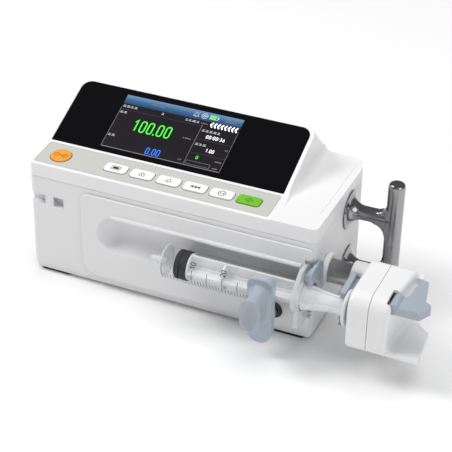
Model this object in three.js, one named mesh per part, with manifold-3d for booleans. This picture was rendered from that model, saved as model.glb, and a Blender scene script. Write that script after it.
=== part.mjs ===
// Syringe infusion pump with a loaded syringe.
// Millimetres, +Z up. The pieces are drawn from the case's front right bottom corner:
// +X to the right, +Y to the back. The last lines move the whole pump so that its origin
// is the middle of its footprint.
import * as THREE from 'three';
import { mergeVertices } from 'three/addons/utils/BufferGeometryUtils.js';
import Module from 'manifold-3d';

const wasm = await Module();
wasm.setup();

// ---------------------------------------------------------------- driving dimensions

const GAP = 0.3;
const WALL = 3;
const SIDES = { fine: 24, plain: 16, small: 10 };

const CASE = { left: -229, right: 4.5, front: 0, back: 112, bottom: 2.5, split: 86 };
const CASE_FRONT_R = 4.5;
const CASE_REAR_R = 14;
const BASE_BAND = 4;
const BASE_INSET = 1;
const FOOT_H = 2.5;
const BASE_SCREWS = [[-190, 12], [-50, 12], [-190, 100], [-50, 100]];
const BASE_SCREW = { headR: 3, head: 1.5, r: 1.5, top: 14 };

const CONSOLE_RIGHT = -31;
const LEDGE_Z = 98;
const STRIP = { y: 0, z: 97.2, tilt: 5 };
const SLOPE = { y: 33, z: 100.1, tilt: 24 };
const CONSOLE_TOP = { y: 93.5, z: 127 };
const CONSOLE_BACK_Z = 109;

const OVERLAY = { left: -226, right: -34.5, from: 3.5, to: 30.5, thick: 0.8 };
const KEY = { w: 18.5, d: 10.5, r: 3, s: 16.4, under: 3, proud: 0.9 };
const KEY_X = { display: -162.5, lock: -140.6, alarm: -118.7, purge: -97.2, stop: -75.6, start: -54.1 };
const POWER_KEY = { x: -209.3, s: 16.1, r: 8.2 };

const GLASS = { left: -227.2, right: -34.3, from: 0.6, to: 63, thick: 2, r: 8 };
const LCD = { left: -190, right: -84, from: 2.5, to: 60.5, thick: 4 };

const PANEL = { left: -184, right: 3, bottom: 10, top: 82, proud: 2.3 };
const TROUGH = { left: -170.6, y: -4.5, z: 51.3, r: 15.5, wall: 2 };
const SADDLE = { left: -100, right: -4 };
const SLOT = { left: -2.4, bottom: 23.5, top: 73, depth: 1.9 };

const AXIS = { y: -11, z: 48.3 };
const BARREL = { r: 12.5, bore: 11.3, left: -109 };
const FLANGE = { left: -1.5, thick: 3, w: 24.4, h: 48, collar: 1 };
const NOZZLE_TIP = -120;
const STOPPER = { left: -98, right: -88, r: 11.1 };
const ROD = { left: -87.7, disc: 33.6, discThick: 2.5, discR: 13.6, rib: 1.9, webR: 10.4, web: 1.5 };
const ROD_WEBS = [-87.7, -60, -30, 2];
// How the plunger rod narrows towards its disc: distance along it and radius.
const ROD_WAIST = [[4, 10.6], [9, 9.2], [15, 8], [22, 7.2], [29, 6.9]];

const CLAMP = { x: -25, z: 23, top: 67.5, bottom: 12.5, left: -34.7, right: -15.3, back: -24, thick: 8 };
const GRIP = { x: -24.5, z: 47, w: 16, h: 28, tip: -50 };
const CLAMP_SHAFT_R = 4.2;
const CLAMP_BUSH_R = 7;
const SPRING = { from: 7, to: 42.5, r: 6, wire: 0.6, turns: 6, stepsPerTurn: 9, collarR: 7.5 };

const CLIP = { left: 5, thick: 2.5, front: -14, back: 11, bottom: 36, top: 71 };
const CLIP_STEM = { y: 8, z: 54, r: 2.5 };

const TUBE = { y: 24.6, z: 51, r: 9, bore: 7.4, left: -106, right: 38 };
const TUBE_BUSH = { r: 13, neckR: 11, proud: 4.2, chamfer: 1 };

const HEAD = { left: 38.8, seam: 54.6, right: 69, slant: 6, front: -28, back: 28, bottom: 25.5, top: 70 };
const HEAD_R = { frontTop: 12, backTop: 8, low: 5 };
const HEAD_WALL = 2.5;
const NECK = { r: 11.7, left: 26, right: 52 };
const PLATE = { left: 66, right: 93.5, front: -26.5, bottom: 26, top: 30 };
const PLATE_BACK = { right: 90.5, rightY: 8, root: 78, rootY: 19 };
const HEAD_LUG = { left: 72, right: 79.5, front: 20.5, back: 25.5, bottom: 60, top: 66 };
const LEVER = { front: -22, back: -7, right: 94.6, low: 60.2, high: 66.6, corner: 89.5, cornerBack: 10 };
const LEVER_STEM = { left: 76.5, right: 89.5, endLeft: 78.5, endRight: 84.7, back: 18, corner: 1.5 };
const PIVOT = { x: 70.5, z: 64, hub: 4.2, pinR: 1.6, play: 0.5 };
const CLAW = { left: 29.3, right: 33.3, y: 11.5, z: 61.2, tipY: -15, tipZ: 59.6, half: 2.6, stemR: 2.2 };
const PAD = { r: 10, left: 36.4 };

const HANDLE = { y: 73.3, top: 75, low: 26, x: 39.5, armR: 5.75, barR: 6.5 };
const HANDLE_FOOT = { r: 16, studR: 4, stud: 5, flare: 10 };
const HANDLE_BAR = { bottom: 6, top: 107 };

const CHASSIS = { left: -124, right: -12, thick: 3, front: 16.5, back: 88, bottom: 9, top: 84 };
const SCREW = { y: 48, z: 51, r: 4 };
const BEARING_R = 7.7;
const GEAR = { module: 1, screwTeeth: 36, motorTeeth: 12, left: -131, wide: 5 };
const GUIDE = { y: 36, z: 74, r: 3 };
const CARRIAGE = { left: -109, right: -97 };
const NUT = { y: 39, z: 51, pinR: 1.8, wide: 5, right: 54, low: 42 };
const RELEASE_ROD_R = 3;
const MOTOR = { size: 28, right: -84, shaftR: 2.5 };

const NOTCH = { left: -230, right: -200, bottom: 62.5, top: 71, depth: 5.5 };
const NOTCH_BRIDGE = { left: -215.7, right: -209, thick: 2.2 };

const INLET = { x: -200, z: 32, w: 28, h: 20, deep: 22 };
const PORT = { x: -164, z: 30, w: 17, h: 14, deep: 16 };

// ---------------------------------------------------------------- colours

const WHITE = { color: 0xf1f0f2, roughness: 0.45, metalness: 0 };
const SHELL = { color: 0xe9e8ea, roughness: 0.5, metalness: 0 };
const GREY = { color: 0xc6c8c0, roughness: 0.5, metalness: 0 };
const BLUE_GREY = { color: 0xa8b2be, roughness: 0.4, metalness: 0 };
const MID_GREY = { color: 0x808080, roughness: 0.4, metalness: 0.3 };
const ORANGE = { color: 0xf2a53c, roughness: 0.4, metalness: 0 };
const GREEN = { color: 0x6ebe28, roughness: 0.4, metalness: 0 };
const BLACK = { color: 0x0a0a0c, roughness: 0.1, metalness: 0 };
const RUBBER = { color: 0x1a1a1c, roughness: 0.85, metalness: 0 };
const CLEAR = { color: 0xdfe6ea, roughness: 0.2, metalness: 0 };
const CHROME = { color: 0xb8b8ba, roughness: 0.15, metalness: 1 };
const STEEL = { color: 0x9a9ca0, roughness: 0.35, metalness: 1 };
const ALU = { color: 0xb4b7ba, roughness: 0.5, metalness: 1 };
const BRASS = { color: 0xc0a050, roughness: 0.35, metalness: 1 };
const BOARD = { color: 0x1f5a34, roughness: 0.5, metalness: 0 };
const DARK = { color: 0x2a2c30, roughness: 0.6, metalness: 0 };

// ---------------------------------------------------------------- solids

// A closed geometry becomes a solid for joining and cutting.
function solid(geometry) {
  const bare = geometry.clone();
  bare.deleteAttribute('normal');
  bare.deleteAttribute('uv');
  const merged = mergeVertices(bare, 1e-4);
  const points = new Float32Array(merged.attributes.position.array);
  let triangles = wholeTriangles(merged.index.array);
  if (signedVolume(points, triangles) < 0) triangles = turnedOver(triangles);
  const mesh = new wasm.Mesh({ numProp: 3, vertProperties: points, triVerts: triangles });
  return new wasm.Manifold(mesh);
}

function wholeTriangles(index) {
  const kept = [];
  for (let i = 0; i < index.length; i += 3) {
    const [a, b, c] = [index[i], index[i + 1], index[i + 2]];
    if (a !== b && b !== c && c !== a) kept.push(a, b, c);
  }
  return new Uint32Array(kept);
}

function turnedOver(triangles) {
  const flipped = new Uint32Array(triangles.length);
  for (let i = 0; i < triangles.length; i += 3) {
    flipped.set([triangles[i], triangles[i + 2], triangles[i + 1]], i);
  }
  return flipped;
}

function signedVolume(points, triangles) {
  const corner = (i) => new THREE.Vector3().fromArray(points, 3 * triangles[i]);
  let sum = 0;
  for (let i = 0; i < triangles.length; i += 3) {
    sum += corner(i).dot(corner(i + 1).cross(corner(i + 2)));
  }
  return sum;
}

function geometryOf(body) {
  const mesh = body.getMesh();
  const geometry = new THREE.BufferGeometry();
  geometry.setAttribute('position', new THREE.BufferAttribute(new Float32Array(mesh.vertProperties), 3));
  geometry.setIndex(new THREE.BufferAttribute(new Uint32Array(mesh.triVerts), 1));
  geometry.computeVertexNormals();
  return geometry;
}

const pump = new THREE.Group();

function piece(name, body, look) {
  const mesh = new THREE.Mesh(geometryOf(body), new THREE.MeshStandardMaterial(look));
  mesh.name = name;
  pump.add(mesh);
}

// Extrusions of an outline along each axis. The outline's two coordinates are the other two
// axes, in X, Y, Z order.
const ALONG_X = new THREE.Matrix4().makeBasis(
  new THREE.Vector3(0, 1, 0), new THREE.Vector3(0, 0, 1), new THREE.Vector3(1, 0, 0));
const ALONG_Y = new THREE.Matrix4().makeBasis(
  new THREE.Vector3(1, 0, 0), new THREE.Vector3(0, 0, 1), new THREE.Vector3(0, -1, 0));

function extrusion(outline, length, curveSegments) {
  return new THREE.ExtrudeGeometry(outline, { depth: length, bevelEnabled: false, curveSegments });
}

function alongX(outline, from, to, arc = 4) {
  return solid(extrusion(outline, to - from, arc).applyMatrix4(ALONG_X).translate(from, 0, 0));
}

function alongY(outline, from, to, arc = 4) {
  return solid(extrusion(outline, to - from, arc).applyMatrix4(ALONG_Y).translate(0, to, 0));
}

function alongZ(outline, from, to, arc = 4) {
  return solid(extrusion(outline, to - from, arc).translate(0, 0, from));
}

function box(x0, x1, y0, y1, z0, z1) {
  const geometry = new THREE.BoxGeometry(x1 - x0, y1 - y0, z1 - z0);
  return solid(geometry.translate((x0 + x1) / 2, (y0 + y1) / 2, (z0 + z1) / 2));
}

function rodX(y, z, r, from, to, sides = SIDES.plain) {
  const geometry = new THREE.CylinderGeometry(r, r, to - from, sides);
  return solid(geometry.rotateZ(-Math.PI / 2).translate((from + to) / 2, y, z));
}

function rodY(x, z, r, from, to, sides = SIDES.plain) {
  const geometry = new THREE.CylinderGeometry(r, r, to - from, sides);
  return solid(geometry.translate(x, (from + to) / 2, z));
}

function rodZ(x, y, r, from, to, sides = SIDES.plain) {
  const geometry = new THREE.CylinderGeometry(r, r, to - from, sides);
  return solid(geometry.rotateX(Math.PI / 2).translate(x, y, (from + to) / 2));
}

// A turned shape about an axis along +X: points are [x, radius].
function turnedX(points, y, z, sides = SIDES.fine) {
  const profile = points.map(([x, r]) => new THREE.Vector2(r, x));
  const geometry = new THREE.LatheGeometry(profile, sides);
  return solid(geometry.rotateZ(-Math.PI / 2).translate(0, y, z));
}

// A turned ring about an axis along +X, closed on itself.
function ringX(x0, x1, inner, outer, y, z, sides = SIDES.fine) {
  return turnedX([[x0, inner], [x0, outer], [x1, outer], [x1, inner], [x0, inner]], y, z, sides);
}

function polygon(points) {
  return new THREE.Shape(points.map(([a, b]) => new THREE.Vector2(a, b)));
}

// A rectangle with its own radius at each corner: low left, low right, high right, high left.
function rounded(x0, y0, x1, y1, radii) {
  const [a, b, c, d] = Array.isArray(radii) ? radii : [radii, radii, radii, radii];
  const quarter = Math.PI / 2;
  const shape = new THREE.Shape();
  shape.moveTo(x0 + a, y0);
  shape.lineTo(x1 - b, y0);
  if (b > 0) shape.absarc(x1 - b, y0 + b, b, -quarter, 0);
  shape.lineTo(x1, y1 - c);
  if (c > 0) shape.absarc(x1 - c, y1 - c, c, 0, quarter);
  shape.lineTo(x0 + d, y1);
  if (d > 0) shape.absarc(x0 + d, y1 - d, d, quarter, 2 * quarter);
  shape.lineTo(x0, y0 + a);
  if (a > 0) shape.absarc(x0 + a, y0 + a, a, 2 * quarter, 3 * quarter);
  return shape;
}

function circle(x, y, r) {
  const shape = new THREE.Shape();
  shape.absarc(x, y, r, 0, 2 * Math.PI);
  return shape;
}

const radians = (degrees) => degrees * Math.PI / 180;

// A solid drawn on a sloped face: x along the pump, s up the slope, n out of the face.
function onSlope(face, outline, low, high, arc = 3) {
  const geometry = extrusion(outline, high - low, arc).translate(0, 0, low);
  return solid(geometry.rotateX(radians(face.tilt)).translate(0, face.y, face.z));
}

// ---------------------------------------------------------------- case

function footprint(inset) {
  const front = Math.max(CASE_FRONT_R - inset, 0.5);
  const rear = CASE_REAR_R - inset;
  const radii = [front, front, rear, front];
  return rounded(CASE.left + inset, CASE.front + inset, CASE.right - inset, CASE.back - inset, radii);
}

function notchCut() {
  const cut = box(NOTCH.left, NOTCH.right, -1, NOTCH.depth, NOTCH.bottom, NOTCH.top);
  const [left, right] = [NOTCH_BRIDGE.left, NOTCH_BRIDGE.right];
  const bridge = box(left, right, -2, NOTCH_BRIDGE.thick, NOTCH.bottom - 1, NOTCH.top + 1);
  return cut.subtract(bridge);
}

function flangeSlot() {
  return box(SLOT.left, CASE.right + 1, -6, SLOT.depth, SLOT.bottom, SLOT.top);
}

function lowerCase() {
  const top = CASE.split - GAP / 2;
  const floor = CASE.bottom + BASE_BAND;
  const baseBand = alongZ(footprint(BASE_INSET), CASE.bottom, floor + 0.01);
  let body = alongZ(footprint(0), floor, top).add(baseBand);
  const padBack = NOTCH.depth + WALL - 0.5;
  const padRight = NOTCH.right + WALL;
  const [padLow, padHigh] = [NOTCH.bottom - WALL, NOTCH.top + WALL];
  const notchPad = box(CASE.left + WALL, padRight, WALL - 0.1, padBack, padLow, padHigh);
  body = body.subtract(alongZ(footprint(WALL), CASE.bottom + WALL, top + 1)).add(notchPad);
  const trough = TROUGH.r + TROUGH.wall + GAP;
  const [low, high] = [TROUGH.z - trough, TROUGH.z + trough];
  const window = rounded(TROUGH.left - 3, low, SLOT.left + 0.1, high, [8, 0, 0, 8]);
  body = body.subtract(alongY(window, -1, WALL + 1));
  body = body.subtract(notchCut()).subtract(flangeSlot());
  body = body.subtract(rodX(TUBE.y, TUBE.z, TUBE_BUSH.neckR + GAP, 0, CASE.right + 1));
  const stemHoleR = CLIP_STEM.r + GAP;
  body = body.subtract(rodX(CLIP_STEM.y, CLIP_STEM.z, stemHoleR, 0, CASE.right + 1, SIDES.small));
  body = body.subtract(rodY(CLAMP.x, CLAMP.z, CLAMP_BUSH_R + GAP, -1, WALL + 1));
  for (const z of [HANDLE.top, HANDLE.low]) {
    body = body.subtract(rodX(HANDLE.y, z, HANDLE_FOOT.studR + GAP, 0, CASE.right + 1, SIDES.small));
  }
  for (const [x, y] of BASE_SCREWS) body = body.subtract(baseScrewHole(x, y));
  return body.subtract(rearOpening(INLET, GAP)).subtract(rearOpening(PORT, GAP));
}

function rearOpening(socket, gap) {
  const [w, h] = [socket.w / 2 + gap, socket.h / 2 + gap];
  const outline = rounded(socket.x - w, socket.z - h, socket.x + w, socket.z + h, 1);
  return alongY(outline, CASE.back - WALL - 1, CASE.back + 1, 2);
}

// The console's outline from the side, moved inwards by the wall for the hollow.
function consoleOutline(inset, floor) {
  const strip = Math.tan(radians(STRIP.tilt));
  return polygon([
    [CASE.front + inset, floor],
    [CASE.back - inset, floor],
    [CASE.back - inset, CONSOLE_BACK_Z - inset * 0.6],
    [CONSOLE_TOP.y - inset * 0.4, CONSOLE_TOP.z - inset * 1.15],
    [SLOPE.y + inset * 0.1, SLOPE.z - inset * 1.05],
    [CASE.front + inset, STRIP.z + inset * strip - inset],
  ]);
}

function upperCase() {
  const floor = CASE.split + GAP / 2;
  const console = alongX(consoleOutline(0, floor), CASE.left - 1, CONSOLE_RIGHT);
  const ledge = box(CONSOLE_RIGHT - 0.01, CASE.right + 1, -1, CASE.back + 1, floor, LEDGE_Z);
  let body = console.add(ledge).intersect(alongZ(footprint(0), floor - 1, CONSOLE_TOP.z + 1));
  const hollow = alongX(consoleOutline(WALL, floor - 1), CASE.left + WALL, CONSOLE_RIGHT - WALL);
  const ledgeHollow = box(CONSOLE_RIGHT - WALL - 0.01, CASE.right, 0, CASE.back, floor - 1, LEDGE_Z - WALL);
  const inner = hollow.add(ledgeHollow).intersect(alongZ(footprint(WALL), floor - 2, CONSOLE_TOP.z));
  body = body.subtract(inner);
  body = body.subtract(onSlope(SLOPE, glassOutline(GAP), -GLASS.thick - GAP, 8));
  const screen = rounded(LCD.left - 1, LCD.from - 1, LCD.right + 1, LCD.to + 1, 1);
  body = body.subtract(onSlope(SLOPE, screen, -9, 8, 1));
  const overlay = rounded(OVERLAY.left - GAP, OVERLAY.from - GAP, OVERLAY.right + GAP, OVERLAY.to + GAP, 2);
  body = body.subtract(onSlope(STRIP, overlay, -OVERLAY.thick - GAP, 4, 2));
  for (const x of Object.values(KEY_X)) {
    body = body.subtract(onSlope(STRIP, keyOutline(x, GAP), -8, 4, 2));
  }
  return body.subtract(onSlope(STRIP, circle(POWER_KEY.x, POWER_KEY.s, POWER_KEY.r + GAP), -8, 4, 10));
}

function glassOutline(extra) {
  const radii = [1, 1, GLASS.r + extra, GLASS.r + extra];
  return rounded(GLASS.left - extra, GLASS.from - extra, GLASS.right + extra, GLASS.to + extra, radii);
}

function keyOutline(x, extra) {
  const [w, d] = [KEY.w / 2 + extra, KEY.d / 2 + extra];
  return rounded(x - w, KEY.s - d, x + w, KEY.s + d, KEY.r + extra);
}

function keyOverlay() {
  const plate = rounded(OVERLAY.left, OVERLAY.from, OVERLAY.right, OVERLAY.to, 2);
  let body = onSlope(STRIP, plate, -OVERLAY.thick, 0, 2);
  for (const x of Object.values(KEY_X)) {
    body = body.subtract(onSlope(STRIP, keyOutline(x, GAP), -2, 2, 2));
  }
  return body.subtract(onSlope(STRIP, circle(POWER_KEY.x, POWER_KEY.s, POWER_KEY.r + GAP), -2, 2, 10));
}

function cradlePanel() {
  const outline = rounded(PANEL.left, PANEL.bottom, PANEL.right, PANEL.top, [13, 3, 3, 7]);
  let body = alongY(outline, -PANEL.proud, -GAP);
  const pocket = troughSolid(TROUGH.r + TROUGH.wall, TROUGH.left - TROUGH.wall, SLOT.left - 2);
  body = body.add(pocket.subtract(box(-300, 50, -60, -GAP - 0.01, 0, 120)));
  body = body.subtract(troughSolid(TROUGH.r, TROUGH.left, SLOT.left - 4));
  const saddle = box(SADDLE.left, SADDLE.right, -PANEL.proud, 12, 34, AXIS.z - 1);
  const held = saddle.intersect(troughSolid(TROUGH.r + 0.5, TROUGH.left, SLOT.left - 3));
  body = body.add(held.subtract(rodX(AXIS.y, AXIS.z, BARREL.r + GAP, -200, 20, SIDES.fine)));
  body = body.add(troughBead());
  body = body.subtract(rodX(AXIS.y, AXIS.z, BARREL.r + GAP, BARREL.left - GAP, 20, SIDES.fine));
  body = body.subtract(flangeSlot());
  return body.subtract(rodY(CLAMP.x, CLAMP.z, CLAMP_BUSH_R + GAP, -6, 2));
}

// The trough is a horizontal round channel whose left end is a quarter ball.
function troughSolid(r, left, right) {
  const ball = solid(new THREE.SphereGeometry(r, SIDES.fine, 12).translate(left + r, TROUGH.y, TROUGH.z));
  return ball.add(rodX(TROUGH.y, TROUGH.z, r, left + r, right, SIDES.fine));
}

// The bead stands out along the trough's top edge.
function troughBead() {
  const half = Math.sqrt(TROUGH.r ** 2 - (TROUGH.y + PANEL.proud) ** 2);
  const [left, right] = [TROUGH.left + 10, SLOT.left - 2.5];
  return rodX(-PANEL.proud + 0.2, TROUGH.z + half + 0.6, 1.4, left, right, SIDES.small);
}

function displayModule() {
  const outline = rounded(LCD.left, LCD.from, LCD.right, LCD.to, 0.5);
  const top = -GLASS.thick - 2 * GAP;
  return onSlope(SLOPE, outline, top - LCD.thick, top, 1);
}

function keypadBoard() {
  const outline = rounded(OVERLAY.left + 4, 6, OVERLAY.right - 4, 27, 1);
  return onSlope(STRIP, outline, -6.4, -4.8, 1);
}

// A key stands through the overlay and a little proud of it.
function key(x) {
  return onSlope(STRIP, keyOutline(x, 0), -KEY.under, KEY.proud, 2);
}

function foot(x0, x1, y0, y1) {
  return alongZ(rounded(x0, y0, x1, y1, 4), 0, FOOT_H - GAP / 3, 4);
}

// A screw that comes up through the case's floor, with its head in a recess.
function baseScrew(x, y) {
  const head = CASE.bottom + 0.2;
  const { headR, head: deep, r, top } = BASE_SCREW;
  return rodZ(x, y, headR, head, head + deep, SIDES.small).add(rodZ(x, y, r, head + 1, top, SIDES.small));
}

function baseScrewHole(x, y) {
  const recess = rodZ(x, y, BASE_SCREW.headR + GAP, 0, CASE.bottom + BASE_SCREW.head + 0.5, SIDES.small);
  return recess.add(rodZ(x, y, BASE_SCREW.r + GAP, 0, CASE.bottom + WALL + 1, SIDES.small));
}

// ---------------------------------------------------------------- handle

function sideHandle() {
  const wall = CASE.right + GAP;
  const bar = solid(new THREE.CapsuleGeometry(
    HANDLE.barR, HANDLE_BAR.top - HANDLE_BAR.bottom - 2 * HANDLE.barR, 3, SIDES.plain
  ).rotateX(Math.PI / 2).translate(HANDLE.x, HANDLE.y, (HANDLE_BAR.top + HANDLE_BAR.bottom) / 2));
  let body = bar;
  for (const z of [HANDLE.top, HANDLE.low]) {
    body = body.add(turnedX(trumpet(wall), HANDLE.y, z, SIDES.plain));
  }
  return body;
}

// An arm that opens into a round foot on the wall, with a stud that goes through the wall.
function trumpet(wall) {
  const stud = wall - HANDLE_FOOT.stud;
  const points = [[stud, 0], [stud, HANDLE_FOOT.studR], [wall, HANDLE_FOOT.studR]];
  points.push([wall, HANDLE_FOOT.r], [wall + 1, HANDLE_FOOT.r]);
  for (const turn of [20, 45, 70, 90]) {
    const x = wall + 1 + HANDLE_FOOT.flare * (1 - Math.cos(radians(turn)));
    const r = HANDLE_FOOT.r - (HANDLE_FOOT.r - HANDLE.armR) * Math.sin(radians(turn));
    points.push([x, r]);
  }
  points.push([HANDLE.x, HANDLE.armR], [HANDLE.x, 0]);
  return points;
}

// ---------------------------------------------------------------- syringe

function syringeBarrel() {
  const inner = BARREL.bore;
  const left = BARREL.left;
  const profile = [
    [left + 2, 1], [NOZZLE_TIP, 1], [NOZZLE_TIP, 2], [left - 1, 2.4], [left - 1, 4.5], [left, 5],
    [left, BARREL.r - 1], [left + 1, BARREL.r], [FLANGE.left + 1, BARREL.r],
    [FLANGE.left + 1, inner], [left + 2, inner], [left + 2, 1],
  ];
  const tube = turnedX(profile, AXIS.y, AXIS.z);
  const [w, h] = [FLANGE.w / 2, FLANGE.h / 2];
  const outline = rounded(AXIS.y - w, AXIS.z - h, AXIS.y + w, AXIS.z + h, w - 0.2);
  const flange = alongX(outline, FLANGE.left, FLANGE.left + FLANGE.thick, 8);
  const collarR = BARREL.r + FLANGE.collar;
  const collar = rodX(AXIS.y, AXIS.z, collarR, FLANGE.left - 3, FLANGE.left + 1, SIDES.fine)
    .subtract(box(-30, 10, AXIS.y + 6, 40, 0, 90));
  const bore = rodX(AXIS.y, AXIS.z, inner, FLANGE.left - 6, 10, SIDES.fine);
  return tube.add(flange).add(collar).subtract(bore);
}

function plungerStopper() {
  const { left, right, r } = STOPPER;
  const groove = r - 1.2;
  const profile = [
    [left, 0], [left, r - 2], [left + 1.2, r], [left + 2.8, r],
    [left + 3.4, groove], [left + 4.4, groove], [left + 5, r], [left + 6, r],
    [left + 6.6, groove], [right - 2.4, groove], [right - 1.8, r], [right, r], [right, 0],
  ];
  return turnedX(profile, AXIS.y, AXIS.z);
}

function plungerRod() {
  const disc = ROD.disc;
  const sweep = [[ROD.left, 0], [ROD.left, ROD_WAIST[0][1]], ...ROD_WAIST, [disc, 7.4], [disc, 0]];
  const envelope = turnedX(sweep, AXIS.y, AXIS.z);
  const half = ROD.rib / 2;
  const upright = box(-200, 60, AXIS.y - half, AXIS.y + half, AXIS.z - 14, AXIS.z + 14);
  const level = box(-200, 60, AXIS.y - 14, AXIS.y + 14, AXIS.z - half, AXIS.z + half);
  let body = envelope.intersect(upright.add(level));
  for (const x of ROD_WEBS) {
    body = body.add(rodX(AXIS.y, AXIS.z, ROD.webR, x, x + ROD.web, SIDES.fine));
  }
  return body.add(rodX(AXIS.y, AXIS.z, ROD.discR, disc, disc + ROD.discThick, SIDES.fine));
}

// ---------------------------------------------------------------- barrel clamp

function barrelClamp() {
  const r = (CLAMP.right - CLAMP.left) / 2 - 0.05;
  const outline = rounded(CLAMP.left, CLAMP.bottom, CLAMP.right, CLAMP.top, [r, r, 6, 6]);
  const plate = alongY(outline, CLAMP.back - CLAMP.thick, CLAMP.back, 6);
  const [w, h] = [GRIP.w / 2, GRIP.h / 2];
  const oval = rounded(GRIP.x - w, GRIP.z - h, GRIP.x + w, GRIP.z + h, w - 0.05);
  const grip = alongY(oval, GRIP.tip, CLAMP.back - CLAMP.thick + 1, 7);
  const bore = rodY(CLAMP.x, CLAMP.z, CLAMP_SHAFT_R + GAP, CLAMP.back - 5, CLAMP.back + 1);
  return plate.add(grip).subtract(bore);
}

function clampShaft() {
  return rodY(CLAMP.x, CLAMP.z, CLAMP_SHAFT_R, CLAMP.back - 4.5, 46);
}

function clampCollar() {
  const ring = rodY(CLAMP.x, CLAMP.z, SPRING.collarR, SPRING.to, SPRING.to + 3, SIDES.fine);
  return ring.subtract(rodY(CLAMP.x, CLAMP.z, CLAMP_SHAFT_R + GAP, SPRING.to - 1, SPRING.to + 4));
}

// A helix whose axis is the clamp shaft's.
class Helix extends THREE.Curve {
  getPoint(t, target = new THREE.Vector3()) {
    const turn = 2 * Math.PI * SPRING.turns * t;
    const reach = SPRING.wire + GAP;
    const y = SPRING.from + reach + (SPRING.to - SPRING.from - 2 * reach) * t;
    return target.set(CLAMP.x + SPRING.r * Math.cos(turn), y, CLAMP.z + SPRING.r * Math.sin(turn));
  }
}

function clampSpring() {
  const wire = new THREE.Shape();
  wire.absarc(0, 0, SPRING.wire, 0, 2 * Math.PI);
  const steps = SPRING.turns * SPRING.stepsPerTurn;
  return solid(new THREE.ExtrudeGeometry(wire, { steps, extrudePath: new Helix(), curveSegments: 3 }));
}

function clampBush() {
  const ring = rodY(CLAMP.x, CLAMP.z, CLAMP_BUSH_R, -3.2, 7);
  return ring.subtract(rodY(CLAMP.x, CLAMP.z, CLAMP_SHAFT_R + GAP, -10, 10));
}

// ---------------------------------------------------------------- flange clip and tube bush

function flangeClip() {
  const outline = rounded(CLIP.front, CLIP.bottom, CLIP.back, CLIP.top, [3, 3, 8, 5]);
  const plate = alongX(outline, CLIP.left, CLIP.left + CLIP.thick);
  const presser = box(1.9, CLIP.left + 1, CLIP.front + 1, -2, 61.5, 68);
  const stem = rodX(CLIP_STEM.y, CLIP_STEM.z, CLIP_STEM.r, -3.8, CLIP.left + 1, SIDES.small);
  const around = rodX(AXIS.y, AXIS.z, 11.4, 1, 10, SIDES.fine);
  return plate.subtract(around).add(presser).add(stem);
}

function tubeBush() {
  const wall = CASE.right + GAP;
  const inner = TUBE.r + GAP;
  const { r, neckR, proud, chamfer } = TUBE_BUSH;
  const profile = [
    [0, inner], [0, neckR], [wall, neckR], [wall, r], [wall + proud - chamfer, r],
    [wall + proud, r - chamfer], [wall + proud, inner], [0, inner],
  ];
  return turnedX(profile, TUBE.y, TUBE.z);
}

// ---------------------------------------------------------------- pusher head

function headOutline(inset) {
  const corners = [HEAD_R.low, HEAD_R.low, HEAD_R.backTop, HEAD_R.frontTop];
  const radii = corners.map((r) => Math.max(r - inset, 0.5));
  return rounded(HEAD.front + inset, HEAD.bottom + inset, HEAD.back - inset, HEAD.top - inset, radii);
}

function headRightCut(inset) {
  const x0 = HEAD.right - inset;
  const x1 = HEAD.right + HEAD.slant - inset;
  const outline = polygon([
    [x0, -60], [150, -60], [150, 60], [x1, 60], [x1, HEAD.back], [x0, HEAD.front],
  ]);
  return alongZ(outline, 0, 120);
}

function neckSolid(r, from, to) {
  return rodX(TUBE.y, TUBE.z, r, from, to, SIDES.fine);
}

function shellLeft() {
  const end = HEAD.seam - GAP / 2;
  let body = alongX(headOutline(0), HEAD.left, end).add(neckSolid(NECK.r, NECK.left, NECK.right));
  const hollow = alongX(headOutline(HEAD_WALL), HEAD.left + HEAD_WALL, end + 1);
  body = body.subtract(hollow).add(neckSolid(NECK.r, NECK.left, HEAD.left + HEAD_WALL));
  body = body.subtract(neckSolid(TUBE.r + GAP, NECK.left - 1, NECK.right - 3));
  for (const z of clawHeights()) {
    const hole = rodX(CLAW.y, z, CLAW.stemR + GAP, HEAD.left - 1, HEAD.left + HEAD_WALL + 1, SIDES.small);
    body = body.subtract(hole);
  }
  return body;
}

function shellRight() {
  const start = HEAD.seam + GAP / 2;
  let body = alongX(headOutline(0), start, 90).subtract(headRightCut(0));
  const hollow = alongX(headOutline(HEAD_WALL), start - 1, 90).subtract(headRightCut(HEAD_WALL));
  body = body.subtract(hollow);
  const plate = polygon([
    [PLATE.left, PLATE.front], [PLATE.right, PLATE.front], [PLATE_BACK.right, PLATE_BACK.rightY],
    [PLATE_BACK.root, PLATE_BACK.rootY], [PLATE.left, PLATE_BACK.rootY],
  ]);
  const inside = alongX(headOutline(HEAD_WALL), 0, PLATE.left + 0.2);
  body = body.add(alongZ(plate, PLATE.bottom, PLATE.top).subtract(inside));
  const { left, right, front, back, bottom, top } = HEAD_LUG;
  body = body.add(box(left, right, front, back, bottom, top));
  const { x, z, hub, play } = PIVOT;
  const reach = hub + play;
  const pocket = rodY(x, z, reach, LEVER.front - play, LEVER.back + play);
  const mouth = polygon([
    [x, z - reach], [90, z - reach], [90, 80], [x - reach, 80], [x - reach, z],
  ]);
  return body.subtract(pocket).subtract(alongY(mouth, LEVER.front - play, LEVER.back + play));
}

function clawHeights() {
  return [CLAW.z, 2 * AXIS.z - CLAW.z];
}

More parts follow.
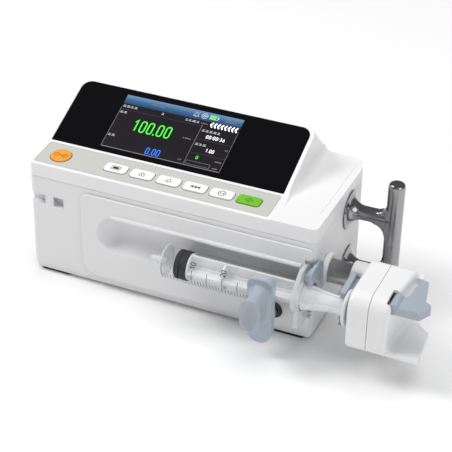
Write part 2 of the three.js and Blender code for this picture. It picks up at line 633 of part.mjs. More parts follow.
function releaseLever() {
  const { front, back } = LEVER;
  const stem = LEVER_STEM;
  const plan = polygon([
    [PIVOT.x, front], [LEVER.corner, front], [LEVER.right, front + LEVER.cornerBack],
    [stem.right, back + 2], [stem.endRight, stem.back - stem.corner],
    [stem.endRight - stem.corner, stem.back],
    [stem.endLeft, stem.back], [stem.left, back + 2], [stem.left - 2, back], [PIVOT.x, back],
  ]);
  const hub = rodY(PIVOT.x, PIVOT.z, PIVOT.hub, front, back);
  const body = alongZ(plan, LEVER.low, LEVER.high).add(hub);
  return body.subtract(rodY(PIVOT.x, PIVOT.z, PIVOT.pinR + GAP, front - 1, back + 1, SIDES.small));
}

function leverPin() {
  return rodY(PIVOT.x, PIVOT.z, PIVOT.pinR, LEVER.front + 0.5, LEVER.back - 0.5, SIDES.small);
}

function claw(sign) {
  const pivotZ = AXIS.z + sign * (CLAW.z - AXIS.z);
  const tipZ = AXIS.z + sign * (CLAW.tipZ - AXIS.z);
  const lean = Math.atan2(tipZ - pivotZ, CLAW.tipY - CLAW.y) + Math.PI / 2;
  const [c, s] = [Math.cos(lean) * CLAW.half, Math.sin(lean) * CLAW.half];
  const bar = polygon([
    [CLAW.y + c, pivotZ + s], [CLAW.tipY + c, tipZ + s],
    [CLAW.tipY - c, tipZ - s], [CLAW.y - c, pivotZ - s],
  ]);
  let body = alongX(bar, CLAW.left, CLAW.right);
  body = body.add(rodX(CLAW.tipY, tipZ, CLAW.half, CLAW.left, CLAW.right, SIDES.small));
  body = body.add(rodX(CLAW.y, pivotZ, CLAW.half + 0.6, CLAW.left, CLAW.right));
  return body.add(rodX(CLAW.y, pivotZ, CLAW.stemR, CLAW.left + 1, HEAD.left + HEAD_WALL + 4, SIDES.small));
}

function thrustPad() {
  return rodX(AXIS.y, AXIS.z, PAD.r, PAD.left, HEAD.left - GAP, SIDES.fine);
}

// ---------------------------------------------------------------- drive

function chassisPlate(x0) {
  const outline = rounded(CHASSIS.front, CHASSIS.bottom, CHASSIS.back, CHASSIS.top, 4);
  return alongX(outline, x0, x0 + CHASSIS.thick, 3);
}

function chassisLeft() {
  const from = CHASSIS.left - 1;
  const to = CHASSIS.left + CHASSIS.thick + 1;
  const motorY = SCREW.y + gearDistance();
  return chassisPlate(CHASSIS.left)
    .subtract(rodX(SCREW.y, SCREW.z, BEARING_R + GAP, from, to))
    .subtract(rodX(motorY, SCREW.z, MOTOR.shaftR + GAP, from, to, SIDES.small));
}

function chassisRight() {
  const from = CHASSIS.right - 1;
  return chassisPlate(CHASSIS.right).subtract(rodX(TUBE.y, TUBE.z, TUBE.r + 2 * GAP, from, from + 5));
}

function gearDistance() {
  return GEAR.module * (GEAR.screwTeeth + GEAR.motorTeeth) / 2;
}

// Straight-sided teeth, thinned a little so that the pair turns freely.
function gear(teeth, y, z, from, to, firstTooth) {
  const pitchR = GEAR.module * teeth / 2;
  const rootR = pitchR - 1.2 * GEAR.module;
  const tipR = pitchR + 0.8 * GEAR.module;
  const points = [];
  for (let tooth = 0; tooth < teeth; tooth += 1) {
    const middle = firstTooth + 2 * Math.PI * tooth / teeth;
    const step = 2 * Math.PI / teeth;
    for (const [r, turn] of [[rootR, -0.3], [tipR, -0.1], [tipR, 0.1], [rootR, 0.3]]) {
      points.push([y + r * Math.cos(middle + turn * step), z + r * Math.sin(middle + turn * step)]);
    }
  }
  return alongX(polygon(points), from, to);
}

function screwGear() {
  const body = gear(GEAR.screwTeeth, SCREW.y, SCREW.z, GEAR.left, GEAR.left + GEAR.wide, 0);
  return body.subtract(rodX(SCREW.y, SCREW.z, SCREW.r + GAP, GEAR.left - 1, GEAR.left + GEAR.wide + 1));
}

function motorPinion() {
  const y = SCREW.y + gearDistance();
  const halfTooth = Math.PI / GEAR.motorTeeth;
  const teeth = gear(GEAR.motorTeeth, y, SCREW.z, GEAR.left, GEAR.left + GEAR.wide, Math.PI + halfTooth);
  const shaftEnd = CHASSIS.left + CHASSIS.thick;
  return teeth.add(rodX(y, SCREW.z, MOTOR.shaftR, GEAR.left - 1, shaftEnd, SIDES.small));
}

function motor() {
  const y = SCREW.y + gearDistance();
  const half = MOTOR.size / 2;
  const outline = rounded(y - half, SCREW.z - half, y + half, SCREW.z + half, 3);
  return alongX(outline, CHASSIS.left + CHASSIS.thick + GAP, MOTOR.right, 3);
}

function leadScrew() {
  return rodX(SCREW.y, SCREW.z, SCREW.r, GEAR.left - 1, CHASSIS.right - GAP);
}

function carriage() {
  const outline = polygon([
    [15, 40], [40, 40], [43, 45], [43, 40], [43.5, 39], [56, 39], [57.5, 42],
    [57.5, 60], [44, 66], [42, 80], [30, 80], [28, 62], [15, 62],
  ]);
  const [from, to] = [CARRIAGE.left - 1, CARRIAGE.right + 1];
  return alongX(outline, CARRIAGE.left, CARRIAGE.right)
    .subtract(rodX(TUBE.y, TUBE.z, TUBE.r + GAP, from, to, SIDES.fine))
    .subtract(rodX(SCREW.y, SCREW.z, SCREW.r + 1, from, to))
    .subtract(rodX(GUIDE.y, GUIDE.z, GUIDE.r + GAP, from, to, SIDES.small))
    .subtract(rodX(NUT.y, NUT.z, NUT.pinR + GAP, from, to, SIDES.small));
}

// The half nut hangs on a pin in the carriage and swings down off the screw.
function halfNut() {
  const to = CARRIAGE.left - GAP;
  const from = to - NUT.wide;
  const arm = box(from, to, NUT.y - 4, NUT.y + 3.5, NUT.z - 2, NUT.z + 2);
  const saddle = box(from, to, NUT.y + 3, NUT.right, NUT.low, SCREW.z - GAP);
  return arm.add(saddle)
    .subtract(rodX(SCREW.y, SCREW.z, SCREW.r + GAP, from - 1, to + 1))
    .add(rodX(NUT.y, NUT.z, NUT.pinR, to - 1, CARRIAGE.right - 2, SIDES.small));
}

// The rod's cam lies under the half nut's arm and lifts it.
function releaseRod() {
  const to = CARRIAGE.left - GAP;
  const from = to - NUT.wide;
  const rod = rodX(TUBE.y, TUBE.z, RELEASE_ROD_R, from, 48, SIDES.small);
  const cam = polygon([
    [TUBE.y, TUBE.z - 4.5], [NUT.y - 3, TUBE.z - 5.5], [NUT.y - 3, TUBE.z - 2.8], [TUBE.y, TUBE.z - 1],
  ]);
  return rod.add(alongX(cam, from, to));
}

// ---------------------------------------------------------------- electronics

// A socket is a block with a cavity that opens at the back and a raised part in it.
function mainsInlet() {
  const { x, z, w, h, deep } = INLET;
  const outline = rounded(x - w / 2, z - h / 2, x + w / 2, z + h / 2, 1);
  const cavity = rounded(x - 11.5, z - 7.5, x + 11.5, z + 7.5, [1, 1, 4, 4]);
  let body = alongY(outline, CASE.back - deep, CASE.back, 2);
  body = body.subtract(alongY(cavity, CASE.back - 16, CASE.back + 1, 2));
  for (const [dx, dz] of [[-7, -2.5], [7, -2.5], [0, -4]]) {
    body = body.add(box(x + dx - 1, x + dx + 1, CASE.back - 16.5, CASE.back - 3, z + dz - 2, z + dz + 2));
  }
  return body;
}

function dataPort() {
  const { x, z, w, h, deep } = PORT;
  const outline = rounded(x - w / 2, z - h / 2, x + w / 2, z + h / 2, 1);
  const block = alongY(outline, CASE.back - deep, CASE.back, 2);
  return block.subtract(box(x - 6, x + 6, CASE.back - 13, CASE.back + 1, z - 4, z + 4));
}

// ---------------------------------------------------------------- assembly

piece('lower_case', lowerCase(), SHELL);
piece('upper_case', upperCase(), WHITE);
piece('cradle_panel', cradlePanel(), SHELL);
piece('key_overlay', keyOverlay(), GREY);
piece('display_glass', onSlope(SLOPE, glassOutline(0), -GLASS.thick, 0), BLACK);
piece('display_module', displayModule(), DARK);
piece('keypad_board', keypadBoard(), BOARD);

for (const [name, x] of Object.entries(KEY_X)) {
  piece(`key_${name}`, key(x), name === 'start' ? GREEN : WHITE);
}
const powerKey = circle(POWER_KEY.x, POWER_KEY.s, POWER_KEY.r);
piece('power_key', onSlope(STRIP, powerKey, -KEY.under, KEY.proud, 10), ORANGE);

piece('foot_front_left', foot(-225, -198, 2.8, 19), RUBBER);
piece('foot_front_right', foot(-30, -1, 2.2, 17), RUBBER);
piece('foot_rear_left', foot(-225, -198, 93, 107), RUBBER);
piece('foot_rear_right', foot(-36, -9, 93, 107), RUBBER);

BASE_SCREWS.forEach(([x, y], i) => piece(`base_screw_${i + 1}`, baseScrew(x, y), STEEL));

piece('side_handle', sideHandle(), CHROME);

piece('syringe_barrel', syringeBarrel(), CLEAR);
piece('plunger_stopper', plungerStopper(), RUBBER);
piece('plunger_rod', plungerRod(), CLEAR);

piece('barrel_clamp', barrelClamp(), BLUE_GREY);
piece('clamp_shaft', clampShaft(), STEEL);
piece('clamp_collar', clampCollar(), STEEL);
piece('clamp_spring', clampSpring(), STEEL);
piece('clamp_bush', clampBush(), DARK);
piece('flange_clip', flangeClip(), BLUE_GREY);
piece('tube_bush', tubeBush(), WHITE);

piece('drive_tube', ringX(TUBE.left, TUBE.right, TUBE.bore, TUBE.r, TUBE.y, TUBE.z), MID_GREY);
piece('pusher_shell_left', shellLeft(), WHITE);
piece('pusher_shell_right', shellRight(), WHITE);
piece('release_lever', releaseLever(), BLUE_GREY);
piece('lever_pin', leverPin(), STEEL);
piece('claw_upper', claw(1), BLUE_GREY);
piece('claw_lower', claw(-1), BLUE_GREY);
piece('thrust_pad', thrustPad(), GREY);

piece('chassis_left', chassisLeft(), ALU);
piece('chassis_right', chassisRight(), ALU);
piece('lead_screw', leadScrew(), STEEL);
piece('screw_gear', screwGear(), BRASS);
piece('motor_pinion', motorPinion(), BRASS);
piece('motor', motor(), DARK);
const bearing = [SCREW.r + GAP, BEARING_R, SCREW.y, SCREW.z, SIDES.plain];
piece('screw_bearing_left', ringX(CHASSIS.left, CHASSIS.left + CHASSIS.thick, ...bearing), STEEL);
piece('screw_bearing_right', ringX(CHASSIS.right - 4 - GAP, CHASSIS.right - GAP, ...bearing), STEEL);
const guideEnds = [CHASSIS.left + CHASSIS.thick + GAP, CHASSIS.right - GAP];
piece('guide_rod', rodX(GUIDE.y, GUIDE.z, GUIDE.r, ...guideEnds, SIDES.small), STEEL);
piece('carriage', carriage(), DARK);
piece('half_nut', halfNut(), BRASS);
piece('release_rod', releaseRod(), STEEL);

piece('battery_pack', alongX(rounded(18, 7, 50, 45, 4), -222, -150, 3), DARK);
piece('power_board', box(-215, -135, 56, 88, 14, 15.6), BOARD);
piece('main_board', box(-180, -20, 92, 93.6, 44, 82), BOARD);
piece('speaker', rodY(-205, 66, 13, 102, 108.5), DARK);
piece('mains_inlet', mainsInlet(), DARK);
piece('data_port', dataPort(), DARK);

// The origin is the middle of the footprint, on the surface that the pump stands on.
const span = new THREE.Box3().setFromObject(pump);
pump.position.set(-(span.min.x + span.max.x) / 2, -(span.min.y + span.max.y) / 2, -span.min.z);

export default pump;
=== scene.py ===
from math import atan2, cos, degrees, pi, radians, sin, sqrt

import bmesh
import bpy
from mathutils import Matrix, Vector


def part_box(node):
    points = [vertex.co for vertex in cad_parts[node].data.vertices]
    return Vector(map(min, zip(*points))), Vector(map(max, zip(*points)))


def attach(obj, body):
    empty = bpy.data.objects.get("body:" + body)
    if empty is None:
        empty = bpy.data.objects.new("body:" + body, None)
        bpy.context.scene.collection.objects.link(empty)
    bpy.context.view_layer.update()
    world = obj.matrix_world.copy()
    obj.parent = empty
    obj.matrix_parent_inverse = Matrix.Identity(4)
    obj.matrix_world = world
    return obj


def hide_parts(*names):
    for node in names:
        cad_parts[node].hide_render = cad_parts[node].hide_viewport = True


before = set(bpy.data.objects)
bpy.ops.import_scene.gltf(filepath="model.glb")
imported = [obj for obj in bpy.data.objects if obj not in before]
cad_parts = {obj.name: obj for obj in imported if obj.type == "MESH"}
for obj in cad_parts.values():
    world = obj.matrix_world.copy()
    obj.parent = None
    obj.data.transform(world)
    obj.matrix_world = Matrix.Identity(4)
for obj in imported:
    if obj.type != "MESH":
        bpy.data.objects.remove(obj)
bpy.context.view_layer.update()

# Sizes are in millimetres: +X right, +Y back, +Z up. The origin is on the surface that the pump stands on,
# in the plane of the case's front and RIGHT inside its right wall. emit() turns them into the frame's metres.
MM = 0.001
RIGHT = 4.5
case_low, case_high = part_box("lower_case")
ORIGIN = Vector((case_high.x / MM - RIGHT, case_low.y / MM, 0))
TO_FRAME = Matrix.Scale(MM, 4) @ Matrix.Translation(ORIGIN)

LEFT = (case_low / MM - ORIGIN).x
BACK = (case_high / MM - ORIGIN).y
GAP = 0.3
WALL = RIGHT + GAP
THICK = 3
SPLIT = 86
LEDGE_Z = 98
CONSOLE_RIGHT = -31
STRIP = {"y": 0, "z": 97.2, "tilt": radians(5)}
SLOPE = {"y": 33, "z": 100.1, "tilt": radians(24)}
SLOPE_TOP = 66.2
OUTLINE = [(0, 60), (112, 60), (112, 109), (93.5, 127), (SLOPE["y"], SLOPE["z"]), (STRIP["y"], STRIP["z"])]
GLASS = {"left": -227.2, "right": -34.3, "from": 0.6, "to": 63, "r": 8}
KEY_X = {"display": -162.5, "lock": -140.6, "alarm": -118.7, "purge": -97.2, "stop": -75.6, "start": -54.1}
KEY_S, KEY_HALF_WIDTH, KEY_HALF_DEPTH, KEY_R = 16.4, 9.25, 5.25, 3
POWER = {"x": -209.3, "s": 16.1, "r": 8.2}
AXIS_Y, AXIS_Z = -11, 48.3
BARREL_R, BORE_R = 12.5, 11.3
TUBE_Y, TUBE_Z, TUBE_R, TUBE_BUSH_R = 24.6, 51, 9, 11
CLAMP_X, CLAMP_Z, CLAMP_R, CLAMP_BUSH_R = -25, 23, 4.5, 7
CLIP_Y, CLIP_Z, CLIP_R = 8, 54, 2.5
HANDLE_X, HANDLE_Y, ARM_Z, PEG_R = 39.5, 73.3, (75, 26), 4
MAINS = {"x": -200, "z": 32, "w": 28, "h": 20}
DATA = {"x": -164, "z": 30, "w": 17, "h": 14}


# ---- mesh tools

def linked(name, mesh):
    obj = bpy.data.objects.new(name, mesh)
    bpy.context.scene.collection.objects.link(obj)
    return obj


def solid(verts, faces, name="tool", weld=True):
    """A mesh object whose faces point outwards."""
    mesh = bpy.data.meshes.new(name)
    mesh.from_pydata([tuple(v) for v in verts], [], faces)
    bm = bmesh.new()
    bm.from_mesh(mesh)
    if weld:
        bmesh.ops.remove_doubles(bm, verts=bm.verts, dist=1e-4)
    bmesh.ops.recalc_face_normals(bm, faces=bm.faces)
    bm.to_mesh(mesh)
    bm.free()
    return linked(name, mesh)


def swept(ring, vector):
    """A closed prism from a planar ring of points, swept along a vector."""
    n = len(ring)
    verts = [Vector(p) for p in ring] + [Vector(p) + Vector(vector) for p in ring]
    faces = [list(range(n))[::-1], list(range(n, 2 * n))]
    faces += [[i, (i + 1) % n, n + (i + 1) % n, n + i] for i in range(n)]
    return solid(verts, faces)


def along(axis, points, start, end):
    """A prism along an axis. The outline's two coordinates are the other axes, in X, Y, Z order."""
    lift = {
        "x": lambda a, b: (start, a, b),
        "y": lambda a, b: (a, start, b),
        "z": lambda a, b: (a, b, start),
    }[axis]
    step = {"x": (end - start, 0, 0), "y": (0, end - start, 0), "z": (0, 0, end - start)}[axis]
    return swept([lift(a, b) for a, b in points], step)


def block(x0, x1, y0, y1, z0, z1):
    return along("z", [(x0, y0), (x1, y0), (x1, y1), (x0, y1)], z0, z1)


def arc(cx, cy, r, start, end, steps):
    return [(cx + r * cos(radians(start + (end - start) * i / steps)),
             cy + r * sin(radians(start + (end - start) * i / steps))) for i in range(steps + 1)]


def rounded(x0, y0, x1, y1, radii, steps=8):
    """Corner radii are low left, low right, high right, high left."""
    a, b, c, d = radii if isinstance(radii, (list, tuple)) else [radii] * 4
    return (arc(x0 + a, y0 + a, a, 180, 270, steps) + arc(x1 - b, y0 + b, b, 270, 360, steps)
            + arc(x1 - c, y1 - c, c, 0, 90, steps) + arc(x0 + d, y1 - d, d, 90, 180, steps))


def circle(cx, cy, r, sides):
    return [(cx + r * cos(2 * pi * i / sides), cy + r * sin(2 * pi * i / sides)) for i in range(sides)]


def rod(axis, a, b, r, start, end, sides=64):
    return along(axis, circle(a, b, r, sides), start, end)


def turned(points, y, z, sides):
    """A shape turned about an axis along +X. Points are (x, radius); ends on the axis are poles."""
    verts, faces, rings = [], [], []
    for x, r in points:
        ring = [(y, z)] if r < 1e-6 else circle(y, z, r, sides)
        rings.append(list(range(len(verts), len(verts) + len(ring))))
        verts += [(x, a, b) for a, b in ring]
    for lower, upper in zip(rings, rings[1:]):
        for i in range(sides):
            j = (i + 1) % sides
            quad = [ring[k % len(ring)] for ring, k in ((lower, i), (lower, j), (upper, j), (upper, i))]
            face = list(dict.fromkeys(quad))
            if len(face) > 2:
                faces.append(face)
    return solid(verts, faces)


def on_axis(r, start, end, sides=64):
    """A rod on the syringe's axis."""
    return rod("x", AXIS_Y, AXIS_Z, r, start, end, sides)


def on_tube(r, start, end, sides=96):
    """A rod on the drive tube's axis."""
    return rod("x", TUBE_Y, TUBE_Z, r, start, end, sides)


def on_face(face, x, s, n=0.0):
    """A point on a sloped face: x along the pump, s up the slope, n out of it."""
    c, t = cos(face["tilt"]), sin(face["tilt"])
    return Vector((x, face["y"] + s * c - n * t, face["z"] + s * t + n * c))


def plate(face, points, low, high):
    """A prism that stands on a sloped face."""
    ring = [on_face(face, x, s, low) for x, s in points]
    return swept(ring, on_face(face, 0, 0, high) - on_face(face, 0, 0, low))


def baked(obj):
    """Applies the modifiers."""
    bpy.context.view_layer.update()
    graph = bpy.context.evaluated_depsgraph_get()
    mesh = bpy.data.meshes.new_from_object(obj.evaluated_get(graph))
    obj.modifiers.clear()
    old = obj.data
    obj.data = mesh
    bpy.data.meshes.remove(old)
    return obj


def combined(obj, tool, how):
    mod = obj.modifiers.new("combine", "BOOLEAN")
    mod.operation = how
    mod.solver = "EXACT"
    mod.object = tool
    baked(obj)
    bpy.data.objects.remove(tool)
    return obj


def cut(obj, *tools):
    for tool in tools:
        combined(obj, tool, "DIFFERENCE")
    return obj


def joined(obj, *tools):
    for tool in tools:
        combined(obj, tool, "UNION")
    return obj


def common(obj, tool):
    return combined(obj, tool, "INTERSECT")


def softened(obj, width, segments, angle=32):
    """Rounds the edges that are sharper than the angle."""
    bm = bmesh.new()
    bm.from_mesh(obj.data)
    bmesh.ops.remove_doubles(bm, verts=bm.verts, dist=0.02)
    bmesh.ops.dissolve_limit(bm, angle_limit=radians(1), verts=bm.verts, edges=bm.edges)
    bm.to_mesh(obj.data)
    bm.free()
    mod = obj.modifiers.new("soft", "BEVEL")
    mod.width = width
    mod.segments = segments
    mod.limit_method = "ANGLE"
    mod.angle_limit = radians(angle)
    mod.miter_outer = "MITER_ARC"
    return baked(obj)


def melted(obj, voxel, rounds):
    """Blends all edges into a moulding: an even remesh, then smoothing."""
    mod = obj.modifiers.new("even", "REMESH")
    mod.mode = "VOXEL"
    mod.voxel_size = voxel
    mod = obj.modifiers.new("blend", "SMOOTH")
    mod.factor = 0.5
    mod.iterations = rounds
    return baked(obj)


def shaded(obj, angle=35):
    """Smooth shading with hard edges above the angle, and flat faces kept flat."""
    mesh = obj.data
    bm = bmesh.new()
    bm.from_mesh(mesh)
    for face in bm.faces:
        face.smooth = True
    for edge in bm.edges:
        edge.smooth = len(edge.link_faces) == 2 and edge.calc_face_angle(0) < radians(angle)
    bm.to_mesh(mesh)
    bm.free()
    mod = obj.modifiers.new("weights", "WEIGHTED_NORMAL")
    mod.keep_sharp = True
    return baked(obj)


def emit(name, obj, body, material, nodes=(), angle=35, weigh=True, smooth=False):
    """Names the piece, gives it its material, and ties it to its CAD body."""
    obj.name = name
    if weigh:
        shaded(obj, angle)
    if smooth:
        obj.data.shade_smooth()
        obj.data.set_sharp_from_angle(angle=radians(angle))
    obj.data.transform(TO_FRAME)
    obj.data.name = name
    obj.data.materials.clear()
    obj.data.materials.append(material)
    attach(obj, body)
    if nodes:
        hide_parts(*nodes)


# ---- materials

def principled(name):
    material = bpy.data.materials.new(name)
    material.use_nodes = True
    tree = material.node_tree
    return material, tree, tree.nodes["Principled BSDF"]


def noise_node(tree, scale, detail=3.0):
    """Noise in the piece's own coordinates; scale is in features for each metre."""
    coords = tree.nodes.new("ShaderNodeTexCoord")
    node = tree.nodes.new("ShaderNodeTexNoise")
    node.inputs["Scale"].default_value = scale
    node.inputs["Detail"].default_value = detail
    tree.links.new(coords.outputs["Object"], node.inputs["Vector"])
    return node


def ramp_node(tree, source, stops):
    ramp = tree.nodes.new("ShaderNodeValToRGB")
    ramp.color_ramp.elements[0].position, ramp.color_ramp.elements[0].color = stops[0]
    ramp.color_ramp.elements[1].position, ramp.color_ramp.elements[1].color = stops[-1]
    for position, colour in stops[1:-1]:
        ramp.color_ramp.elements.new(position).color = colour
    tree.links.new(source, ramp.inputs["Fac"])
    return ramp


def spread(values, change):
    return tuple(max(0.0, min(1.0, value * (1 + change))) for value in values) + (1.0,)


def varied(tree, noise, values, change):
    """An output that wanders a little around a colour, or around an amount that is given three times."""
    stops = [(0.3, spread(values, -change)), (0.7, spread(values, change))]
    return ramp_node(tree, noise.outputs["Fac"], stops).outputs["Color"]


def moulded(name, colour, rough, grain, coat=0.0, tint=0.02, scale=2600, metallic=0.0, specular=0.5):
    """Moulded plastic or rubber: fine grain in the bump, faint mottling in colour and gloss."""
    material, tree, shader = principled(name)
    tree.links.new(varied(tree, noise_node(tree, 35), colour, tint), shader.inputs["Base Color"])
    tree.links.new(varied(tree, noise_node(tree, 160), [rough] * 3, 0.1), shader.inputs["Roughness"])
    bump = tree.nodes.new("ShaderNodeBump")
    bump.inputs["Strength"].default_value = grain
    bump.inputs["Distance"].default_value = 0.0002
    tree.links.new(noise_node(tree, scale, 2).outputs["Fac"], bump.inputs["Height"])
    tree.links.new(bump.outputs["Normal"], shader.inputs["Normal"])
    shader.inputs["Coat Weight"].default_value = coat
    shader.inputs["Coat Roughness"].default_value = 0.15
    shader.inputs["Metallic"].default_value = metallic
    shader.inputs["Specular IOR Level"].default_value = specular
    return material


def metal(name, colour, rough, streak, stretch):
    """Metal with fine polishing marks, long in one direction where it is brushed."""
    material, tree, shader = principled(name)
    shader.inputs["Metallic"].default_value = 1.0
    coords = tree.nodes.new("ShaderNodeTexCoord")
    mapping = tree.nodes.new("ShaderNodeMapping")
    mapping.inputs["Scale"].default_value = stretch
    marks = tree.nodes.new("ShaderNodeTexNoise")
    marks.inputs["Scale"].default_value = 900
    tree.links.new(coords.outputs["Object"], mapping.inputs["Vector"])
    tree.links.new(mapping.outputs["Vector"], marks.inputs["Vector"])
    tree.links.new(varied(tree, marks, colour, 0.03), shader.inputs["Base Color"])
    tree.links.new(varied(tree, marks, [rough] * 3, streak), shader.inputs["Roughness"])
    return material


def clear(name, colour, rough, alpha, coat=0.6):
    """Clear to frosted plastic, with a faint cloudiness."""
    material, tree, shader = principled(name)
    cloud = noise_node(tree, 120)
    tree.links.new(varied(tree, cloud, colour, 0.02), shader.inputs["Base Color"])
    tree.links.new(varied(tree, cloud, [alpha] * 3, 0.05), shader.inputs["Alpha"])
    shader.inputs["Roughness"].default_value = rough
    shader.inputs["Coat Weight"].default_value = coat
    shader.inputs["Coat Roughness"].default_value = 0.08
    return material


def set_glow(tree, shader, ramp, strength):
    """The ramp's colour is what the element reflects and what it gives off."""
    for socket in ("Base Color", "Emission Color"):
        tree.links.new(ramp.outputs["Color"], shader.inputs[socket])
    shader.inputs["Emission Strength"].default_value = strength
    shader.inputs["Roughness"].default_value = 0.25


def lit(name, low, high, strength):
    """A lit display element, with a faint unevenness in its glow."""
    material, tree, shader = principled(name)
    stops = [(0.35, low + (1,)), (0.65, high + (1,))]
    set_glow(tree, shader, ramp_node(tree, noise_node(tree, 60).outputs["Fac"], stops), strength)
    return material


def lit_gradient(name, stops, strength):
    """A lit display element whose colour changes from its low edge to its high edge."""
    material, tree, shader = principled(name)
    coords = tree.nodes.new("ShaderNodeTexCoord")
    parts = tree.nodes.new("ShaderNodeSeparateXYZ")
    tree.links.new(coords.outputs["Generated"], parts.inputs["Vector"])
    set_glow(tree, shader, ramp_node(tree, parts.outputs["Z"], stops), strength)
    return material


WHITE = moulded("shell_white", (0.86, 0.855, 0.865), 0.42, 0.06, coat=0.12, tint=0.006)
SHELL = moulded("shell_lower_white", (0.80, 0.80, 0.81), 0.45, 0.08, coat=0.08, tint=0.006)
HEAD_WHITE = moulded("head_white", (0.83, 0.83, 0.835), 0.36, 0.04, coat=0.2, tint=0.005)
OVERLAY = moulded("overlay_grey", (0.56, 0.565, 0.53), 0.48, 0.1, tint=0.015, scale=4200)
KEY_WHITE = moulded("key_white", (0.88, 0.88, 0.87), 0.4, 0.05, tint=0.008)
KEY_GREEN = moulded("key_green", (0.17, 0.50, 0.025), 0.38, 0.05, tint=0.04)
KEY_ORANGE = moulded("key_orange", (0.84, 0.35, 0.04), 0.4, 0.06, tint=0.05)
PRINT = moulded("print_black", (0.03, 0.03, 0.032), 0.5, 0.03, tint=0.1)
PRINT_BROWN = moulded("print_brown", (0.30, 0.13, 0.02), 0.5, 0.03, tint=0.1)
PRINT_GREEN = moulded("print_green", (0.05, 0.22, 0.01), 0.5, 0.03, tint=0.1)
GLASS_BLACK = moulded("glass_black", (0.003, 0.0025, 0.0035), 0.05, 0.0, tint=0.1, specular=0.2)
BLUE_GREY = moulded("blue_grey", (0.37, 0.42, 0.49), 0.34, 0.05, coat=0.25)
TUBE_GREY = metal("tube_grey", (0.40, 0.40, 0.405), 0.34, 0.25, (1, 30, 30))
RUBBER = moulded("rubber_black", (0.018, 0.018, 0.02), 0.75, 0.3, tint=0.15, scale=1500)
STOPPER = moulded("stopper_black", (0.008, 0.008, 0.010), 0.5, 0.05, tint=0.1, specular=0.2)
CHROME = metal("chrome", (0.36, 0.36, 0.37), 0.2, 0.2, (1, 1, 0.15))
STEEL = metal("steel", (0.5, 0.51, 0.53), 0.3, 0.3, (1, 20, 20))
ALUMINIUM = metal("aluminium", (0.6, 0.61, 0.63), 0.4, 0.3, (1, 8, 1))
BRASS = metal("brass", (0.62, 0.46, 0.17), 0.3, 0.25, (6, 1, 1))
BOARD = moulded("board_green", (0.02, 0.12, 0.05), 0.4, 0.2, coat=0.4, tint=0.2, scale=900)
DARK = moulded("dark_plastic", (0.03, 0.03, 0.034), 0.5, 0.15, tint=0.1)
MOTOR = moulded("motor_steel", (0.05, 0.05, 0.055), 0.4, 0.1, tint=0.1, metallic=0.8)
PAD = moulded("pad_grey", (0.62, 0.63, 0.64), 0.6, 0.2)
BARREL = clear("barrel_clear", (0.93, 0.95, 0.97), 0.1, 0.018, coat=1.0)
BARREL_END = clear("barrel_end", (0.92, 0.93, 0.94), 0.2, 0.3)
INK = moulded("scale_ink", (0.02, 0.02, 0.025), 0.5, 0.02, tint=0.1)
FROSTED = clear("frosted_plastic", (0.88, 0.89, 0.90), 0.35, 0.8)
FLANGE = clear("flange_frosted", (0.84, 0.85, 0.86), 0.3, 0.5)
SCREEN_DARK = lit("screen_dark", (0.006, 0.0045, 0.008), (0.008, 0.006, 0.010), 0.3)
TITLE_STOPS = [(0.0, (0.008, 0.03, 0.075, 1)), (0.45, (0.02, 0.065, 0.14, 1)), (1.0, (0.08, 0.15, 0.27, 1))]
TITLE_BLUE = lit_gradient("screen_title_blue", TITLE_STOPS, 0.9)
SCREEN_GREY = lit("screen_grey", (0.10, 0.10, 0.11), (0.12, 0.12, 0.13), 0.9)
SCREEN_FAINT = lit("screen_faint", (0.03, 0.03, 0.033), (0.035, 0.035, 0.04), 0.9)
SCREEN_PALE = lit("screen_pale", (0.32, 0.33, 0.36), (0.38, 0.39, 0.42), 0.9)
SCREEN_WHITE = lit("screen_white", (0.8, 0.8, 0.82), (0.9, 0.9, 0.92), 0.9)
SCREEN_GREEN = lit("screen_green", (0.05, 0.58, 0.03), (0.06, 0.64, 0.04), 0.8)
SCREEN_BLUE = lit("screen_blue", (0.02, 0.12, 0.62), (0.03, 0.14, 0.68), 0.9)


# ---- camera and stage

def make_camera():
    """The photo's camera, solved from the edges of the case."""
    data = bpy.data.cameras.new("camera")
    data.lens = 114.6
    data.sensor_width = 36
    data.clip_end = 20
    camera = bpy.data.objects.new("camera", data)
    right = Vector((0.91600, 0.40081, 0.01709))
    up = Vector((-0.22757, 0.48404, 0.84494))
    back = Vector((0.33039, -0.77785, 0.53459))
    place = Matrix((right, up, back)).transposed().to_4x4()
    place.translation = (Vector((279.5, -811.2, 641.0)) + ORIGIN) * MM
    camera.matrix_world = place
    bpy.context.scene.collection.objects.link(camera)
    bpy.context.scene.camera = camera


def area_light(name, place, target, size, power):
    data = bpy.data.lights.new(name, "AREA")
    data.shape = "RECTANGLE"
    data.size, data.size_y = size
    data.energy = power
    light = bpy.data.objects.new(name, data)
    light.location = place
    light.rotation_euler = (Vector(target) - Vector(place)).to_track_quat("-Z", "Y").to_euler()
    bpy.context.scene.collection.objects.link(light)
    return light


def make_floor():
    floor = solid([(-6, -6, 0), (6, -6, 0), (6, 6, 0), (-6, 6, 0)], [[0, 1, 2, 3]], "floor")
    material, tree, shader = principled("floor_white")
    stops = [(0.3, (0.93, 0.93, 0.93, 1)), (0.7, (0.94, 0.94, 0.94, 1))]
    ramp = ramp_node(tree, noise_node(tree, 3).outputs["Fac"], stops)
    tree.links.new(ramp.outputs["Color"], shader.inputs["Base Color"])
    shader.inputs["Roughness"].default_value = 0.7
    shader.inputs["Emission Color"].default_value = (1, 1, 1, 1)
    shader.inputs["Emission Strength"].default_value = 0.02
    floor.data.materials.append(material)


